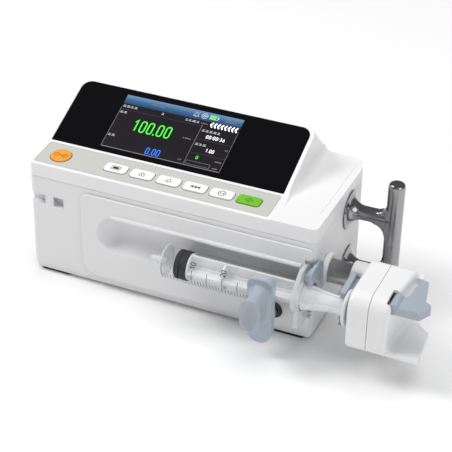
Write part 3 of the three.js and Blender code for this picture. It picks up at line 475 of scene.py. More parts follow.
def make_lights():
    world = bpy.data.worlds.new("studio")
    bpy.context.scene.world = world
    world.use_nodes = True
    background = world.node_tree.nodes["Background"]
    background.inputs["Color"].default_value = (1, 1, 1, 1)
    background.inputs["Strength"].default_value = 0.18
    area_light("key", (-1.7, -0.5, 1.9), (0, 0, 0.05), (1.0, 1.0), 34)
    top = area_light("top", (0.15, 0.4, 2.1), (0, 0, 0), (2.0, 2.0), 29)
    top.visible_glossy = False
    area_light("front", (0.3, -1.8, 0.9), (0, 0, 0.05), (1.2, 0.8), 1.2)
    area_light("fill", (1.5, -0.8, 0.9), (0, 0, 0.05), (1.2, 1.2), 9)
    bpy.context.scene.view_settings.view_transform = "Standard"


make_camera()
make_floor()
make_lights()


# ---- case

def footprint(inset):
    """The case's plan, moved inwards. The right back corner has a larger radius."""
    radii = [max(r - inset, 0.5) for r in (4.5, 4.5, 14, 4.5)]
    return rounded(LEFT + inset, inset, RIGHT - inset, BACK - inset, radii, 10)


def outline_inside(inset):
    """The case's outline, moved inwards. The factors follow each corner's angle."""
    (front, low), (back, _), (_, rear), (top_y, top), (bend_y, bend), (_, lip) = OUTLINE
    return [(front + inset, low), (back - inset, low), (back - inset, rear - inset * 0.6),
            (top_y - inset * 0.4, top - inset * 1.15), (bend_y + inset * 0.1, bend - inset * 1.05),
            (front + inset, lip - inset * 0.9)]


def corner_tool(x_edge, inwards):
    """Cuts one of the console's top corners round, along the back slope."""
    r, s = 11, SLOPE_TOP
    ring = [(x_edge - inwards * 3, s + 3), (x_edge - inwards * 3, s - r)]
    ring += [(x_edge + inwards * a, s - r + b) for a, b in arc(r, 0, r, 180, 90, 12)]
    ring.append((x_edge + inwards * r, s + 3))
    (low_y, low_z), (high_y, high_z) = OUTLINE[2:4]
    fall = Vector((0, low_y - high_y, low_z - high_z)).normalized()
    return swept([on_face(SLOPE, x, t) - fall * 12 for x, t in ring], fall * 44)


def console_blend():
    """The concave blend from the console's right end down to the ledge."""
    r = 6
    blend = along("x", OUTLINE, CONSOLE_RIGHT - 0.5, CONSOLE_RIGHT + r)
    cut(blend, rod("y", CONSOLE_RIGHT + r, LEDGE_Z + r, r, -5, 130, 96))
    return cut(blend, block(CONSOLE_RIGHT - 1, 10, -5, 130, LEDGE_Z + r, 140))


def upper_hollow():
    hollow = along("x", outline_inside(THICK), LEFT + THICK, CONSOLE_RIGHT - THICK)
    joined(hollow, block(CONSOLE_RIGHT - THICK - 0.5, RIGHT, 0, BACK, 60, LEDGE_Z - THICK))
    return common(hollow, along("z", footprint(THICK), SPLIT - 5, 130))


def upper_case():
    body = along("x", OUTLINE, LEFT - 1, CONSOLE_RIGHT)
    cut(body, corner_tool(CONSOLE_RIGHT, -1), corner_tool(LEFT, 1))
    joined(body, console_blend(), block(CONSOLE_RIGHT - 0.5, RIGHT + 1, -1, BACK + 1, 60, LEDGE_Z))
    common(body, along("z", footprint(0), SPLIT + GAP / 2, 140))
    softened(body, 2.0, 4)
    cut(body, along("z", rounded(-1.2, 19, RIGHT + 5, 108, [3, 0, 0, 8]), LEDGE_Z - 0.35, LEDGE_Z + 2))
    cut(body, upper_hollow())
    strip = rounded(-226.3, 3.2, -34.2, 30.8, 2)
    cut(body, plate(SLOPE, glass_shape(GAP, 8), -2.3, 8), plate(STRIP, strip, -1.1, 4))
    for outline in key_outlines(GAP):
        cut(body, plate(STRIP, outline, -8, 4))
    cut(body, plate(SLOPE, bar(-191, -83, 1.5, 61.5)[0], -9, 2))
    emit("upper_case_shell", body, "housing", WHITE, ["upper_case"])


def notch():
    """The line holder's opening at the front left, with a post left standing in it."""
    tool = block(LEFT - 1, -200, -1, 5.5, 62.5, 71)
    return cut(tool, block(-215.7, -209, -2, 2.2, 61, 72))


def flange_recess():
    """The opening at the front right for the syringe's flange."""
    return block(-2.4, RIGHT + 1, -6, 1.9, 23.5, 73)


def socket_shape(socket, extra=0.0):
    half_w, half_h = socket["w"] / 2 + extra, socket["h"] / 2 + extra
    x, z = socket["x"], socket["z"]
    return rounded(x - half_w, z - half_h, x + half_w, z + half_h, 1, 4)


def lower_case():
    body = along("z", footprint(0), 6.5, SPLIT - GAP / 2)
    softened(body, 0.5, 2)
    base = along("z", footprint(1.2), 2.5, 6.6)
    softened(base, 1.2, 3)
    joined(body, base)
    hollow = along("z", footprint(THICK), 5.5, SPLIT + 1)
    cut(hollow, block(LEFT + 2, -197, 2, 8, 59.5, 74))
    cut(body, hollow)
    cut(body, along("y", rounded(-173.6, 33.5, -2.3, 69.1, [8, 0.1, 0.1, 8]), -1, 4))
    cut(body, notch(), flange_recess())
    cut(body, on_tube(TUBE_BUSH_R + GAP, 0, 6, 64), rod("x", CLIP_Y, CLIP_Z, CLIP_R + GAP, 0, 6, 32))
    cut(body, rod("y", CLAMP_X, CLAMP_Z, CLAMP_BUSH_R + GAP, -1, 4))
    for z in ARM_Z:
        cut(body, rod("x", HANDLE_Y, z, PEG_R + GAP, 0, 6, 32))
    for socket in (MAINS, DATA):
        cut(body, along("y", socket_shape(socket, GAP), BACK - 4, BACK + 1))
    for x, y in ((-190, 12), (-50, 12), (-190, 100), (-50, 100)):
        cut(body, rod("z", x, y, 3.3, 0, 4.5, 32), rod("z", x, y, 1.8, 0, 7, 24))
    emit("lower_case_shell", body, "housing", SHELL, ["lower_case"])


PANEL_FRONT = -2.3
TROUGH = {"left": -170.6, "y": -4.5, "z": 51.3, "r": 15.5}


def channel(r, left, right):
    """A round channel along X whose left end is a quarter ball."""
    ball = [(left + r - r * cos(radians(6 * i)), r * sin(radians(6 * i))) for i in range(16)]
    return turned(ball + [(right, r), (right, 0)], TROUGH["y"], TROUGH["z"], 96)


def cradle_panel():
    body = along("y", rounded(-184, 10, 3, 82, [13, 3, 3, 7], 10), PANEL_FRONT, -GAP)
    softened(body, 1.1, 4)
    pocket = channel(TROUGH["r"] + 2, TROUGH["left"] - 2, -4.4)
    cut(pocket, block(-200, 10, -40, -GAP - 0.2, 20, 80))
    joined(body, pocket)
    cut(body, channel(TROUGH["r"], TROUGH["left"], -6.4))
    softened(body, 0.8, 3, 50)
    saddle = block(-100, -4, PANEL_FRONT, 12, 34, AXIS_Z - 1)
    common(saddle, channel(TROUGH["r"] + 0.5, TROUGH["left"], -5.4))
    joined(body, saddle)
    cut(body, on_axis(BARREL_R + GAP, -109.3, 20, 72))
    half = sqrt(TROUGH["r"] ** 2 - (TROUGH["y"] - PANEL_FRONT) ** 2)
    bead = [(-160, 0), (-158, 0.9), (-155, 1.5), (-150, 1.9), (-4.9, 1.9), (-4.9, 0)]
    joined(body, turned(bead, PANEL_FRONT + 0.2, TROUGH["z"] + half + 0.6, 24))
    cut(body, flange_recess(), rod("y", CLAMP_X, CLAMP_Z, CLAMP_BUSH_R + GAP, -6, 2))
    emit("cradle_front_panel", body, "housing", SHELL, ["cradle_panel"])


# ---- thin marks and lit elements

def merged(polygons, lift, depth):
    """One mesh of thin prisms. lift turns a flat point and a height into space."""
    verts, faces = [], []
    for points in polygons:
        n, base = len(points), len(verts)
        verts += [lift(a, b, 0) for a, b in points] + [lift(a, b, depth) for a, b in points]
        faces.append([base + i for i in range(n)][::-1])
        faces.append([base + n + i for i in range(n)])
        faces += [[base + i, base + (i + 1) % n, base + n + (i + 1) % n, base + n + i] for i in range(n)]
    return solid(verts, faces, "marks", weld=False)


def stroke(points, width, closed=False):
    """Quads along a line with mitred joints."""
    pts = [Vector(p) for p in points]
    n = len(pts)
    sides = []
    for i, p in enumerate(pts):
        ways = []
        if i or closed:
            ways.append((p - pts[i - 1]).normalized())
        if i < n - 1 or closed:
            ways.append((pts[(i + 1) % n] - p).normalized())
        way = sum(ways, Vector((0, 0))).normalized()
        across = Vector((-way.y, way.x))
        reach = width / 2 / max(0.4, across.dot(Vector((-ways[0].y, ways[0].x))))
        sides.append((p + across * reach, p - across * reach))
    pairs = list(zip(sides, sides[1:])) + ([(sides[-1], sides[0])] if closed else [])
    return [[tuple(a), tuple(b), tuple(d), tuple(c)] for (a, b), (c, d) in pairs]


def hoop(x, y, r, width, sides):
    return stroke(circle(x, y, r, sides), width, True)


def bar(x0, x1, y0, y1):
    """A list with one rectangle."""
    return [[(x0, y0), (x1, y0), (x1, y1), (x0, y1)]]


GLYPHS = {
    "0": ([rounded(0, 0, 0.6, 1, 0.22, 5)], True),
    "1": ([[(0.08, 0.8), (0.36, 1.0), (0.36, 0.0)]], False),
    "2": ([arc(0.3, 0.7, 0.3, 165, -35, 10) + [(0.02, 0.0), (0.62, 0.0)]], False),
    "3": ([arc(0.29, 0.75, 0.25, 150, -75, 9) + arc(0.29, 0.27, 0.28, 75, -150, 9)], False),
    "6": ([[(0.5, 0.96)] + arc(0.3, 0.3, 0.3, 160, 520, 20)], False),
    ".": ([[(0.05, 0.0), (0.05, 0.12)]], False),
    ":": ([[(0.05, 0.2), (0.05, 0.36)], [(0.05, 0.64), (0.05, 0.8)]], False),
}


def number(text, x, y, high, width, step, slim):
    """Digits as strokes, from their low left corner."""
    out = []
    for letter in text:
        lines, closed = GLYPHS[letter]
        for line in lines:
            out += stroke([(x + a * high * slim, y + b * high) for a, b in line], width, closed)
        x += step * (0.42 if letter in ".:" else 1)
    return out


def raised(face, n):
    """Lifts flat marks onto a sloped face, n above it."""
    return lambda a, b, c: on_face(face, a, b, n + c)


# ---- console

def key_shape(x, extra=0.0):
    w, d = KEY_HALF_WIDTH + extra, KEY_HALF_DEPTH + extra
    return rounded(x - w, KEY_S - d, x + w, KEY_S + d, KEY_R + extra)


def power_shape(extra, sides):
    return circle(POWER["x"], POWER["s"], POWER["r"] + extra, sides)


def key_outlines(extra, sides=64):
    return [key_shape(x, extra) for x in KEY_X.values()] + [power_shape(extra, sides)]


def glass_shape(extra, steps):
    r = GLASS["r"] + extra
    return rounded(GLASS["left"] - extra, GLASS["from"] - extra, GLASS["right"] + extra, GLASS["to"] + extra,
                   [1, 1, r, r], steps)


def key_strip():
    body = plate(STRIP, rounded(-226, 3.5, -34.5, 30.5, 2), -0.8, 0)
    for outline in key_outlines(0.4):
        cut(body, plate(STRIP, outline, -2, 2))
    softened(body, 0.15, 2)
    emit("key_strip", body, "housing", OVERLAY, ["key_overlay"])


# Painted shade: dark plastic rings fill the gap round each key and stand in for the shadow down in that gap.
def key_gaskets():
    quads = []
    for inner, outer in zip(key_outlines(0.06, 48), key_outlines(0.38, 48)):
        n = len(inner)
        quads += [[inner[i], inner[(i + 1) % n], outer[(i + 1) % n], outer[i]] for i in range(n)]
    gap_shade_rings = merged(quads, raised(STRIP, -0.8), 0.72)
    emit("key_gaskets", gap_shade_rings, "housing", DARK, weigh=False)


def icon_display(x, s):
    frame_line = stroke(rounded(x - 3.4, s - 2.1, x + 3.4, s + 2.1, 0.5, 3), 0.45, True)
    return frame_line + bar(x - 2.4, x + 2.4, s - 1.3, s + 1.3)


def icon_lock(x, s):
    w, high, low = 1.9, s + 0.2, s - 2.4
    shackle = stroke(arc(x, high, 1.5, 0, 180, 10), 0.4)
    body = stroke([(x - w, high), (x + w, high), (x + w, low), (x - w, low)], 0.4, True)
    return shackle + body + bar(x - 0.35, x + 0.35, s - 1.6, s - 0.6)


def icon_bell(x, s):
    side = [(0.5, 1.8), (1.4, 0.8), (1.5, -0.5), (2.3, -1.3)]
    hood = [(x - a, s + b) for a, b in side[::-1]] + [(x + a, s + b) for a, b in side]
    return stroke(hood, 0.4, True) + bar(x - 0.6, x + 0.6, s - 2.3, s - 1.7)


def icon_purge(x, s):
    return [[(x + d, s), (x + d + 2.6, s - 1.7), (x + d + 2.6, s + 1.7)] for d in (-4.1, -1.4, 1.3)]


def icon_stop(x, s):
    arrows = [[(x + d * 1.6, s + 0.9), (x + d * 0.1, s), (x + d * 1.6, s - 0.9)] for d in (-1, 1)]
    return hoop(x, s, 2.8, 0.55, 28) + arrows


def icon_start(x, s):
    diamond = stroke([(x - 2.9, s), (x, s - 2.5), (x + 2.9, s), (x, s + 2.5)], 0.6, True)
    return diamond + stroke([(x, s - 1.4), (x, s + 1.4)], 0.6)


def icon_power(x, s):
    left, right, r = x - 3.4, x + 3.4, 1.9
    power = stroke(arc(left, s, r, 120, 420, 20), 0.6) + stroke([(left, s + 0.2), (left, s + 2.6)], 0.6)
    crossed = hoop(right, s, r, 0.6, 20) + stroke([(right - 0.9, s - 0.6), (right + 0.9, s + 0.6)], 0.5)
    return power + crossed + stroke([(x - 1.2, s + 1.1), (x + 1.2, s - 1.1)], 0.6)


ICONS = {
    "display": icon_display,
    "lock": icon_lock,
    "alarm": icon_bell,
    "purge": icon_purge,
    "stop": icon_stop,
    "start": icon_start,
}


def one_key(name, node, outline, soft, icon, look, slot, print_look, print_slot):
    """A key cap and the symbol printed on it, on the body of its button."""
    body = plate(STRIP, outline, -3, 0.9)
    softened(body, soft, 4)
    emit(f"key_cap_{name}", body, f"button_{name}", look, [node])
    symbol = merged(icon, raised(STRIP, 0.88), 0.06)
    emit(f"key_icon_{name}", symbol, f"button_{name}", print_look, weigh=False)


def keys():
    for name, x in KEY_X.items():
        looks = (KEY_WHITE, "key_white", PRINT, "rubber_black")
        if name == "start":
            looks = (KEY_GREEN, "key_green", PRINT_GREEN, "key_green")
        one_key(name, f"key_{name}", key_shape(x), 0.45, ICONS[name](x, KEY_S), *looks)
    looks = (KEY_ORANGE, "key_orange", PRINT_BROWN, "key_orange")
    one_key("power", "power_key", power_shape(0, 72), 0.5, icon_power(POWER["x"], POWER["s"]), *looks)


def display_glass():
    body = plate(SLOPE, glass_shape(0, 12), -2, 0)
    softened(body, 0.35, 3)
    emit("front_glass", body, "housing", GLASS_BLACK, ["display_glass"])


SCREEN_LEFT, SCREEN_LOW, TITLE_LOW = -187, 5.3, 49


def lit_piece(name, polygons, material, lift=0.03):
    emit(name, merged(polygons, raised(SLOPE, lift), 0.02), "housing", material, weigh=False)


def screen_ground():
    lit_piece("screen_area", bar(SCREEN_LEFT, -87.5, SCREEN_LOW, TITLE_LOW), SCREEN_DARK, 0.0)
    lit_piece("screen_title_bar", bar(SCREEN_LEFT, -87.8, TITLE_LOW, 57.6), TITLE_BLUE, 0.0)
    lines = bar(SCREEN_LEFT, -186.6, 5.6, 45) + bar(-88, -87.7, 5.6, 45.5) + bar(-117.8, -117.4, 6.0, 45)
    lines += bar(SCREEN_LEFT, -87.7, SCREEN_LOW, 6.0)
    lines += stroke([(-116.4, 7.1), (-97, 7.1), (-97, 10.3), (-116.4, 10.3)], 0.3, True)
    lit_piece("screen_frames", lines, SCREEN_GREY)
    rules = bar(-186.6, -117.8, 43.2, 43.45) + bar(-117.4, -88, 31, 31.25) + bar(-117.4, -88, 17.9, 18.15)
    lit_piece("screen_rules", rules, SCREEN_FAINT)


def screen_labels():
    """Plain bars in place of words. A row has its start, its height and the widths of its signs."""
    rows = ((-186, 46.6, (2.4, 2.6, 2.3, 2.6)), (-186, 40.6, (2.5, 2.5)), (-186, 17.4, (2.4, 2.5)),
            (-116, 40.0, (2.3, 2.5, 2.4, 2.6, 2.2)), (-116, 26.6, (2.4, 2.3, 2.6)),
            (-132.5, 46.6, (1.9, 2.2, 3.2, 1.8)), (-153, 46.8, (2.0,)))
    signs = []
    for x, s, sizes in rows:
        for size in sizes:
            signs += bar(x, x + size, s - 0.95, s - 0.45) + bar(x + 0.2, x + size - 0.2, s + 0.35, s + 0.8)
            signs += bar(x + size * 0.42, x + size * 0.6, s - 0.3, s + 0.2)
            x += size + 0.75
    lit_piece("screen_labels", signs, SCREEN_PALE)


def screen_small_labels():
    """Smaller rows, from one x to another at a height."""
    rows = ((-127.6, -120.4, 29.5), (-123.5, -120.1, 9.4), (-91.4, -88.6, 26.2), (-94.9, -88.8, 14.3),
            (-94.6, -90.2, 7.9), (-119.6, -113.6, 46.4), (-103.4, -90.8, 54.7), (-101.5, -92.2, 52.6),
            (-164.3, -152.4, 53.2))
    signs = []
    for x0, x1, s in rows:
        count = max(2, round((x1 - x0) / 1.7))
        pitch = (x1 - x0) / count
        for i in range(count):
            x = x0 + i * pitch
            signs += bar(x, x + pitch * 0.68, s - 0.55, s + (0.55 if i % 3 else 0.25))
    lit_piece("screen_small_labels", signs, SCREEN_GREY)


def screen_numbers():
    rate = bar(-152.0, -150.7, 24.8, 26.2)
    for text, x in (("1", -169.9), ("00", -163.8), ("00", -149.1)):
        rate += number(text, x, 25.4, 10.25, 1.15, 6.4, 0.626)
    lit_piece("screen_rate", rate, SCREEN_GREEN)
    volume = bar(-146.9, -146.1, 6.9, 7.8)
    for text, x in (("0", -150.2), ("00", -145.0)):
        volume += number(text, x, 7.3, 5.5, 0.75, 3.7, 0.66)
    lit_piece("screen_volume", volume, SCREEN_BLUE)
    figures = number("00:00:36", -110.2, 33.4, 2.9, 0.4, 2.35, 0.72)
    figures += number("1.00", -105.6, 21.1, 2.8, 0.4, 2.2, 0.72)
    for i in range(8):
        x = -111.6 + 2.9 * i
        figures += stroke([(x + 1.8, 48.9), (x + 0.4, 46.6), (x + 1.8, 44.3)], 1.15)
    lit_piece("screen_figures", figures, SCREEN_WHITE)


def screen_icons():
    x, s = -119.1, 53.3
    disc = hoop(x, s, 2.4, 0.45, 24) + stroke([(x - 1.9, s), (x + 1.9, s)], 0.4) + hoop(x, s, 1.0, 0.4, 12)
    battery = stroke([(-114.6, 51.7), (-108.2, 51.7), (-108.2, 55.2), (-114.6, 55.2)], 0.4, True)
    battery += bar(-108, -107.2, 52.6, 54.3)
    lit_piece("screen_icons", icon_bell(-126, 53.2) + disc + battery, SCREEN_PALE)
    charge = bar(-114.1, -109.6, 52.1, 54.8) + number("0", -110.2, 13.2, 2.5, 0.55, 2, 0.85)
    lit_piece("screen_green_marks", charge, SCREEN_GREEN)


# ---- feet and handle

FEET = {
    "front_left": (-225, -198, 2.8, 19),
    "front_right": (-30, -1, 2.2, 17),
    "rear_left": (-225, -198, 93, 107),
    "rear_right": (-36, -9, 93, 107),
}


def feet():
    for name, (x0, x1, y0, y1) in FEET.items():
        body = along("z", rounded(x0, y0, x1, y1, 4, 8), 0, 2.4)
        softened(body, 0.6, 3)
        for x in range(x0 + 5, x1 - 3, 4):
            cut(body, block(x, x + 1, y0 + 3, y1 - 3, -1, 0.5))
        emit(f"rubber_foot_{name}", body, "housing", RUBBER, [f"foot_{name}"])


def upright(obj, x, y):
    """Turns a shape made about the X axis to stand about a vertical axis at x, y."""
    obj.data.transform(Matrix.Translation((x, y, 0)) @ Matrix.Rotation(radians(-90), 4, "Y"))
    return obj


def handle_bar():
    low, high = 6, 107
    end = [(0, 0), (0, 3.2), (0.35, 4.9), (1.3, 6.0), (3, 6.5)]
    profile = [(low + a, r) for a, r in end] + [(high - a, r) for a, r in end[::-1]]
    return upright(turned(profile, 0, 0, 64), HANDLE_X, HANDLE_Y)


def handle_arm(z):
    """A round arm that flares out to its foot on the wall."""
    flare = [(WALL + 0.9 + 10 * (1 - cos(radians(t))), 16 - 10.25 * sin(radians(t))) for t in range(0, 91, 9)]
    profile = [(WALL, 0), (WALL, 15.4), (WALL + 0.3, 15.9)] + flare + [(HANDLE_X, 5.75), (HANDLE_X, 0)]
    return turned(profile, HANDLE_Y, z, 64)


def gusset(z, side, r):
    """A web with a hollow of radius r between an arm and the bar, above the arm or below it."""
    x, top = 33.2, 5.6 + r
    edge = [(HANDLE_X - 4, 4.2), (HANDLE_X - 4, 6 + r), (x, top)]
    edge += [(x - r + r * cos(radians(t)), top - r * sin(radians(t))) for t in range(15, 91, 15)]
    edge += [(x - r, 4.2)]
    return along("y", [(a, z + side * b) for a, b in edge], HANDLE_Y - 4.3, HANDLE_Y + 4.3)


def side_handle():
    body = handle_bar()
    for z, inwards in zip(ARM_Z, (-1, 1)):
        joined(body, handle_arm(z), gusset(z, inwards, 9), gusset(z, -inwards, 5))
    melted(body, 0.7, 14)
    cut(body, block(0, WALL, 50, 95, 0, 110))
    for z in ARM_Z:
        joined(body, rod("x", HANDLE_Y, z, PEG_R, -0.2, 6, 32))
    emit("polished_handle", body, "housing", CHROME, ["side_handle"], 50, False, True)


# ---- syringe

NOZZLE_END = -106.7
SCALE_X, SCALE_STEP = -106.3, 2.43
STEM_LEFT, STEM_RIGHT = -87.7, 33.8


def syringe_tube():
    """The tube in two pieces, because its closed end is cloudier."""
    outer = [(-120, 0), (-120, 2.0), (-110.2, 2.4), (-110, 4.3), (-109.4, 5), (-109, 9), (-108.7, 11.3),
             (-108.2, 12.2), (-107.4, BARREL_R), (0.5, BARREL_R), (0.5, 0)]
    inner = [(-121, 0), (-121, 1.0), (-107.2, 1.2), (-106.6, 10.2), (-106, 11.0), (-105, BORE_R),
             (3, BORE_R), (3, 0)]
    tube = cut(turned(outer, AXIS_Y, AXIS_Z, 96), turned(inner, AXIS_Y, AXIS_Z, 96))
    cut(tube, block(-2, 5, -40, 40, 0, 90))
    nozzle = linked("nozzle", tube.data.copy())
    cut(nozzle, block(NOZZLE_END, 5, -40, 40, 0, 90))
    cut(tube, block(-125, NOZZLE_END, -40, 40, 0, 90))
    emit("syringe_nozzle", nozzle, "housing", BARREL_END, angle=40)
    emit("syringe_tube", tube, "housing", BARREL, ["syringe_barrel"], angle=40)


def syringe_flange():
    flange = along("x", rounded(-23.2, 24.3, 1.2, 72.3, [5, 5, 9, 9], 12), -1.5, 1.5)
    collar = turned([(-4.6, 0), (-4.6, 12.6), (-4.2, 13.5), (0, 13.5), (0, 0)], AXIS_Y, AXIS_Z, 72)
    cut(collar, block(-10, 10, -5, 40, 0, 90))
    joined(flange, collar)
    softened(flange, 0.5, 3)
    cut(flange, on_axis(BARREL_R + 0.05, -6, -2, 96), on_axis(BORE_R, -6, 6, 96))
    emit("syringe_flange", flange, "housing", FLANGE)


def around_barrel(x, turn, lift):
    """A point just off the barrel: turn is the angle up from the front in degrees."""
    r = BARREL_R + 0.02 + lift
    return Vector((x, AXIS_Y - r * cos(radians(turn)), AXIS_Z + r * sin(radians(turn))))


def syringe_scale():
    marks = []
    low = -62
    for v in range(31):
        x = SCALE_X + SCALE_STEP * v
        top, steps = (23, 10) if v % 5 == 0 else (-15, 5)
        edge = [low + (top - low) * i / steps for i in range(steps + 1)]
        marks += [[(x - 0.2, a), (x + 0.2, a), (x + 0.2, b), (x - 0.2, b)] for a, b in zip(edge, edge[1:])]
    for v in (10, 20, 30):
        x = SCALE_X + SCALE_STEP * v + 1.7
        for quad in number(str(v), 0, 0, 3.4, 0.55, 2.75, 0.95):
            marks.append([(x - b, 29 + degrees(a / BARREL_R)) for a, b in quad])
    emit("syringe_scale", merged(marks, around_barrel, 0.04), "housing", INK, weigh=False)


def stopper():
    r = 11.15
    points = [(-98, 0), (-98, 9.2), (-97.7, 10.4), (-97, r), (-94.6, r), (-94.2, 10.8), (-93.9, 10.2),
              (-93.5, 10.0), (-93.1, 10.2), (-92.8, 10.8), (-92.4, r), (-88.4, r), (-88, 10.8), (-88, 0)]
    body = turned(points, AXIS_Y, AXIS_Z, 96)
    emit("plunger_rubber", body, "pusher", STOPPER, ["plunger_stopper"])


def plunger():
    waist = [(STEM_LEFT, 0), (STEM_LEFT, 10.4), (3, 10.4), (6, 10.2), (9, 9.7), (13, 8.9), (18, 8.1),
             (24, 7.5), (29, 7.3), (STEM_RIGHT, 7.6), (STEM_RIGHT, 0)]
    body = turned(waist, AXIS_Y, AXIS_Z, 64)
    ribs = block(-95, 40, AXIS_Y - 1.2, AXIS_Y + 1.2, AXIS_Z - 14, AXIS_Z + 14)
    joined(ribs, block(-95, 40, AXIS_Y - 14, AXIS_Y + 14, AXIS_Z - 1.2, AXIS_Z + 1.2))
    core = [(STEM_LEFT, 0), (STEM_LEFT, 3), (0, 3), (3, 9.6), (9, 9.0), (13, 8.2), (18, 7.4), (24, 6.8),
            (STEM_RIGHT, 6.9), (STEM_RIGHT, 0)]
    joined(ribs, turned(core, AXIS_Y, AXIS_Z, 48))
    common(body, ribs)
    for x in (STEM_LEFT, -60, -30, 2):
        joined(body, on_axis(10.3, x, x + 1.5))
    softened(body, 0.3, 2)
    disc = [(33.6, 0), (33.6, 13), (34, 13.5), (34.6, 13.6), (35.3, 13.6), (35.8, 13.4),
            (36.1, 13), (36.1, 0)]
    joined(body, turned(disc, AXIS_Y, AXIS_Z, 72))
    emit("plunger_stem", body, "pusher", FROSTED, ["plunger_rod"])


# ---- clamp, clip and tube

def loft(sections):
    """A solid through closed rings of equal length, each given as 3-D points."""
    n = len(sections[0])
    verts = [p for ring in sections for p in ring]
    faces = [list(range(n))[::-1], [len(verts) - n + i for i in range(n)]]
    for k in range(len(sections) - 1):
        a, b = k * n, (k + 1) * n
        faces += [[a + i, a + (i + 1) % n, b + (i + 1) % n, b + i] for i in range(n)]
    return solid(verts, faces)


def clamp_grip():
    """The oval grip, through sections given by y, width, height and centre, with a dish in its front."""
    sections = ((-26, 17.2, 35, -24.7, 45.5), (-32, 16.6, 33, -24.7, 46), (-34.5, 13.4, 29.5, -24.6, 46.8),
                (-38, 11.6, 27, -24.5, 47.2), (-42, 11.4, 26, -24.5, 47.2), (-45.5, 13, 26.8, -24.5, 47.1),
                (-48, 15, 27.6, -24.5, 47), (-50, 16, 28, -24.5, 47))
    rings = []
    for y, w, h, x, z in sections:
        oval = rounded(x - w / 2, z - h / 2, x + w / 2, z + h / 2, w / 2 - 0.02, 10)
        rings.append([(a, y, b) for a, b in oval])
    return loft(rings)


def clamp_dish():
    ball = bmesh.new()
    bmesh.ops.create_uvsphere(ball, u_segments=48, v_segments=24, radius=1)
    mesh = bpy.data.meshes.new("dish")
    ball.to_mesh(mesh)
    ball.free()
    mesh.transform(Matrix.Translation((-24.5, -51.5, 47)) @ Matrix.Diagonal((7.0, 4.2, 12.9, 1)))
    return linked("dish", mesh)


def barrel_clamp():
    body = along("y", rounded(-34.7, 12.5, -15.3, 67.5, [9.6, 9.6, 6, 6], 12), -31.6, -24)
    joined(body, clamp_grip())
    cut(body, clamp_dish())
    melted(body, 0.5, 8)
    cut(body, rod("y", CLAMP_X, CLAMP_Z, CLAMP_R, -29, -20, 32))
    emit("clamp_moulding", body, "clamp_arm", BLUE_GREY, ["barrel_clamp"], 50, False, True)
    bush = rod("y", CLAMP_X, CLAMP_Z, CLAMP_BUSH_R, -3.2, 7)
    softened(bush, 0.5, 3)
    cut(bush, rod("y", CLAMP_X, CLAMP_Z, CLAMP_R, -10, 10, 48))
    emit("clamp_collar_bush", bush, "housing", DARK, ["clamp_bush"])


def flange_clip():
    body = along("x", rounded(-14, 36, 11, 71, [3, 3, 8, 5], 10), 5, 7.5)
    cut(body, on_axis(11.4, 0, 12))
    softened(body, 0.7, 3)
    presser = block(1.9, 6, -13, -2, 61.5, 68)
    softened(presser, 0.8, 3)
    joined(body, presser, rod("x", CLIP_Y, CLIP_Z, CLIP_R, -3.8, 6, 32))
    emit("clip_plate", body, "clip", BLUE_GREY, ["flange_clip"])


def tube_parts():
    profile = [(0, 0), (0, TUBE_BUSH_R), (WALL, TUBE_BUSH_R), (WALL, 12.4), (WALL + 0.5, 13),
               (WALL + 3.0, 13), (WALL + 3.8, 12.6), (WALL + 4.2, 11.8), (WALL + 4.2, 0)]
    bush = cut(turned(profile, TUBE_Y, TUBE_Z, 96), on_tube(TUBE_R + GAP, -2, 12))
    softened(bush, 0.25, 2)
    emit("tube_collar", bush, "housing", WHITE, ["tube_bush"])
    tube = cut(on_tube(TUBE_R, -106, 38, 128), on_tube(7.4, -107, 39, 64))
    softened(tube, 0.25, 2)
    emit("tube_sleeve", tube, "pusher", TUBE_GREY, ["drive_tube"])


# ---- pusher head

HEAD = {"left": 38.8, "seam": 54.6, "right": 69, "slant": 6, "front": -28, "back": 28, "low": 25.5, "top": 70}
LEVER_X, LEVER_Z = 70.5, 64
CLAW_Y, CLAW_RISE = 11.5, 12.9


def head_outline(inset):
    radii = [max(r - inset, 0.5) for r in (5, 5, 8, 12)]
    return rounded(HEAD["front"] + inset, HEAD["low"] + inset, HEAD["back"] - inset, HEAD["top"] - inset,
                   radii, 12)


def slant_tool(inset):
    x0 = HEAD["right"] - inset
    x1 = x0 + HEAD["slant"]
    return along("z", [(x0 - 0.65, -34), (150, -34), (150, 34), (x1 + 0.65, 34)], 0, 120)


def head_solid():
    body = along("x", head_outline(0), HEAD["left"], 95)
    cut(body, slant_tool(0))
    return softened(body, 3.2, 6)


def head_left():
    body = head_solid()
    cut(body, block(HEAD["seam"] - 0.2, 120, -60, 60, 0, 120))
    collar = [(26, 0), (26, 11.0), (26.3, 11.5), (26.8, 11.7), (44, 11.7), (44, 0)]
    joined(body, turned(collar, TUBE_Y, TUBE_Z, 96))
    cut(body, along("x", head_outline(2.5), HEAD["left"] + 2.5, 60))
    joined(body, cut(on_tube(11.6, HEAD["left"] + 0.5, 43), on_tube(9.5, 37, 44)))
    cut(body, on_tube(TUBE_R + GAP, 20, 50))
    for rise in (CLAW_RISE, -CLAW_RISE):
        cut(body, rod("x", CLAW_Y, AXIS_Z + rise, 2.5, 38, 44, 32))
    emit("head_shell_left", body, "pusher", HEAD_WHITE, ["pusher_shell_left"])


def finger_plate():
    outline = [(66, -26.5), (93.5, -26.5), (90.5, 8), (78, 19), (66, 19)]
    body = along("z", outline, 26, 30)
    softened(body, 1.2, 4)
    return body


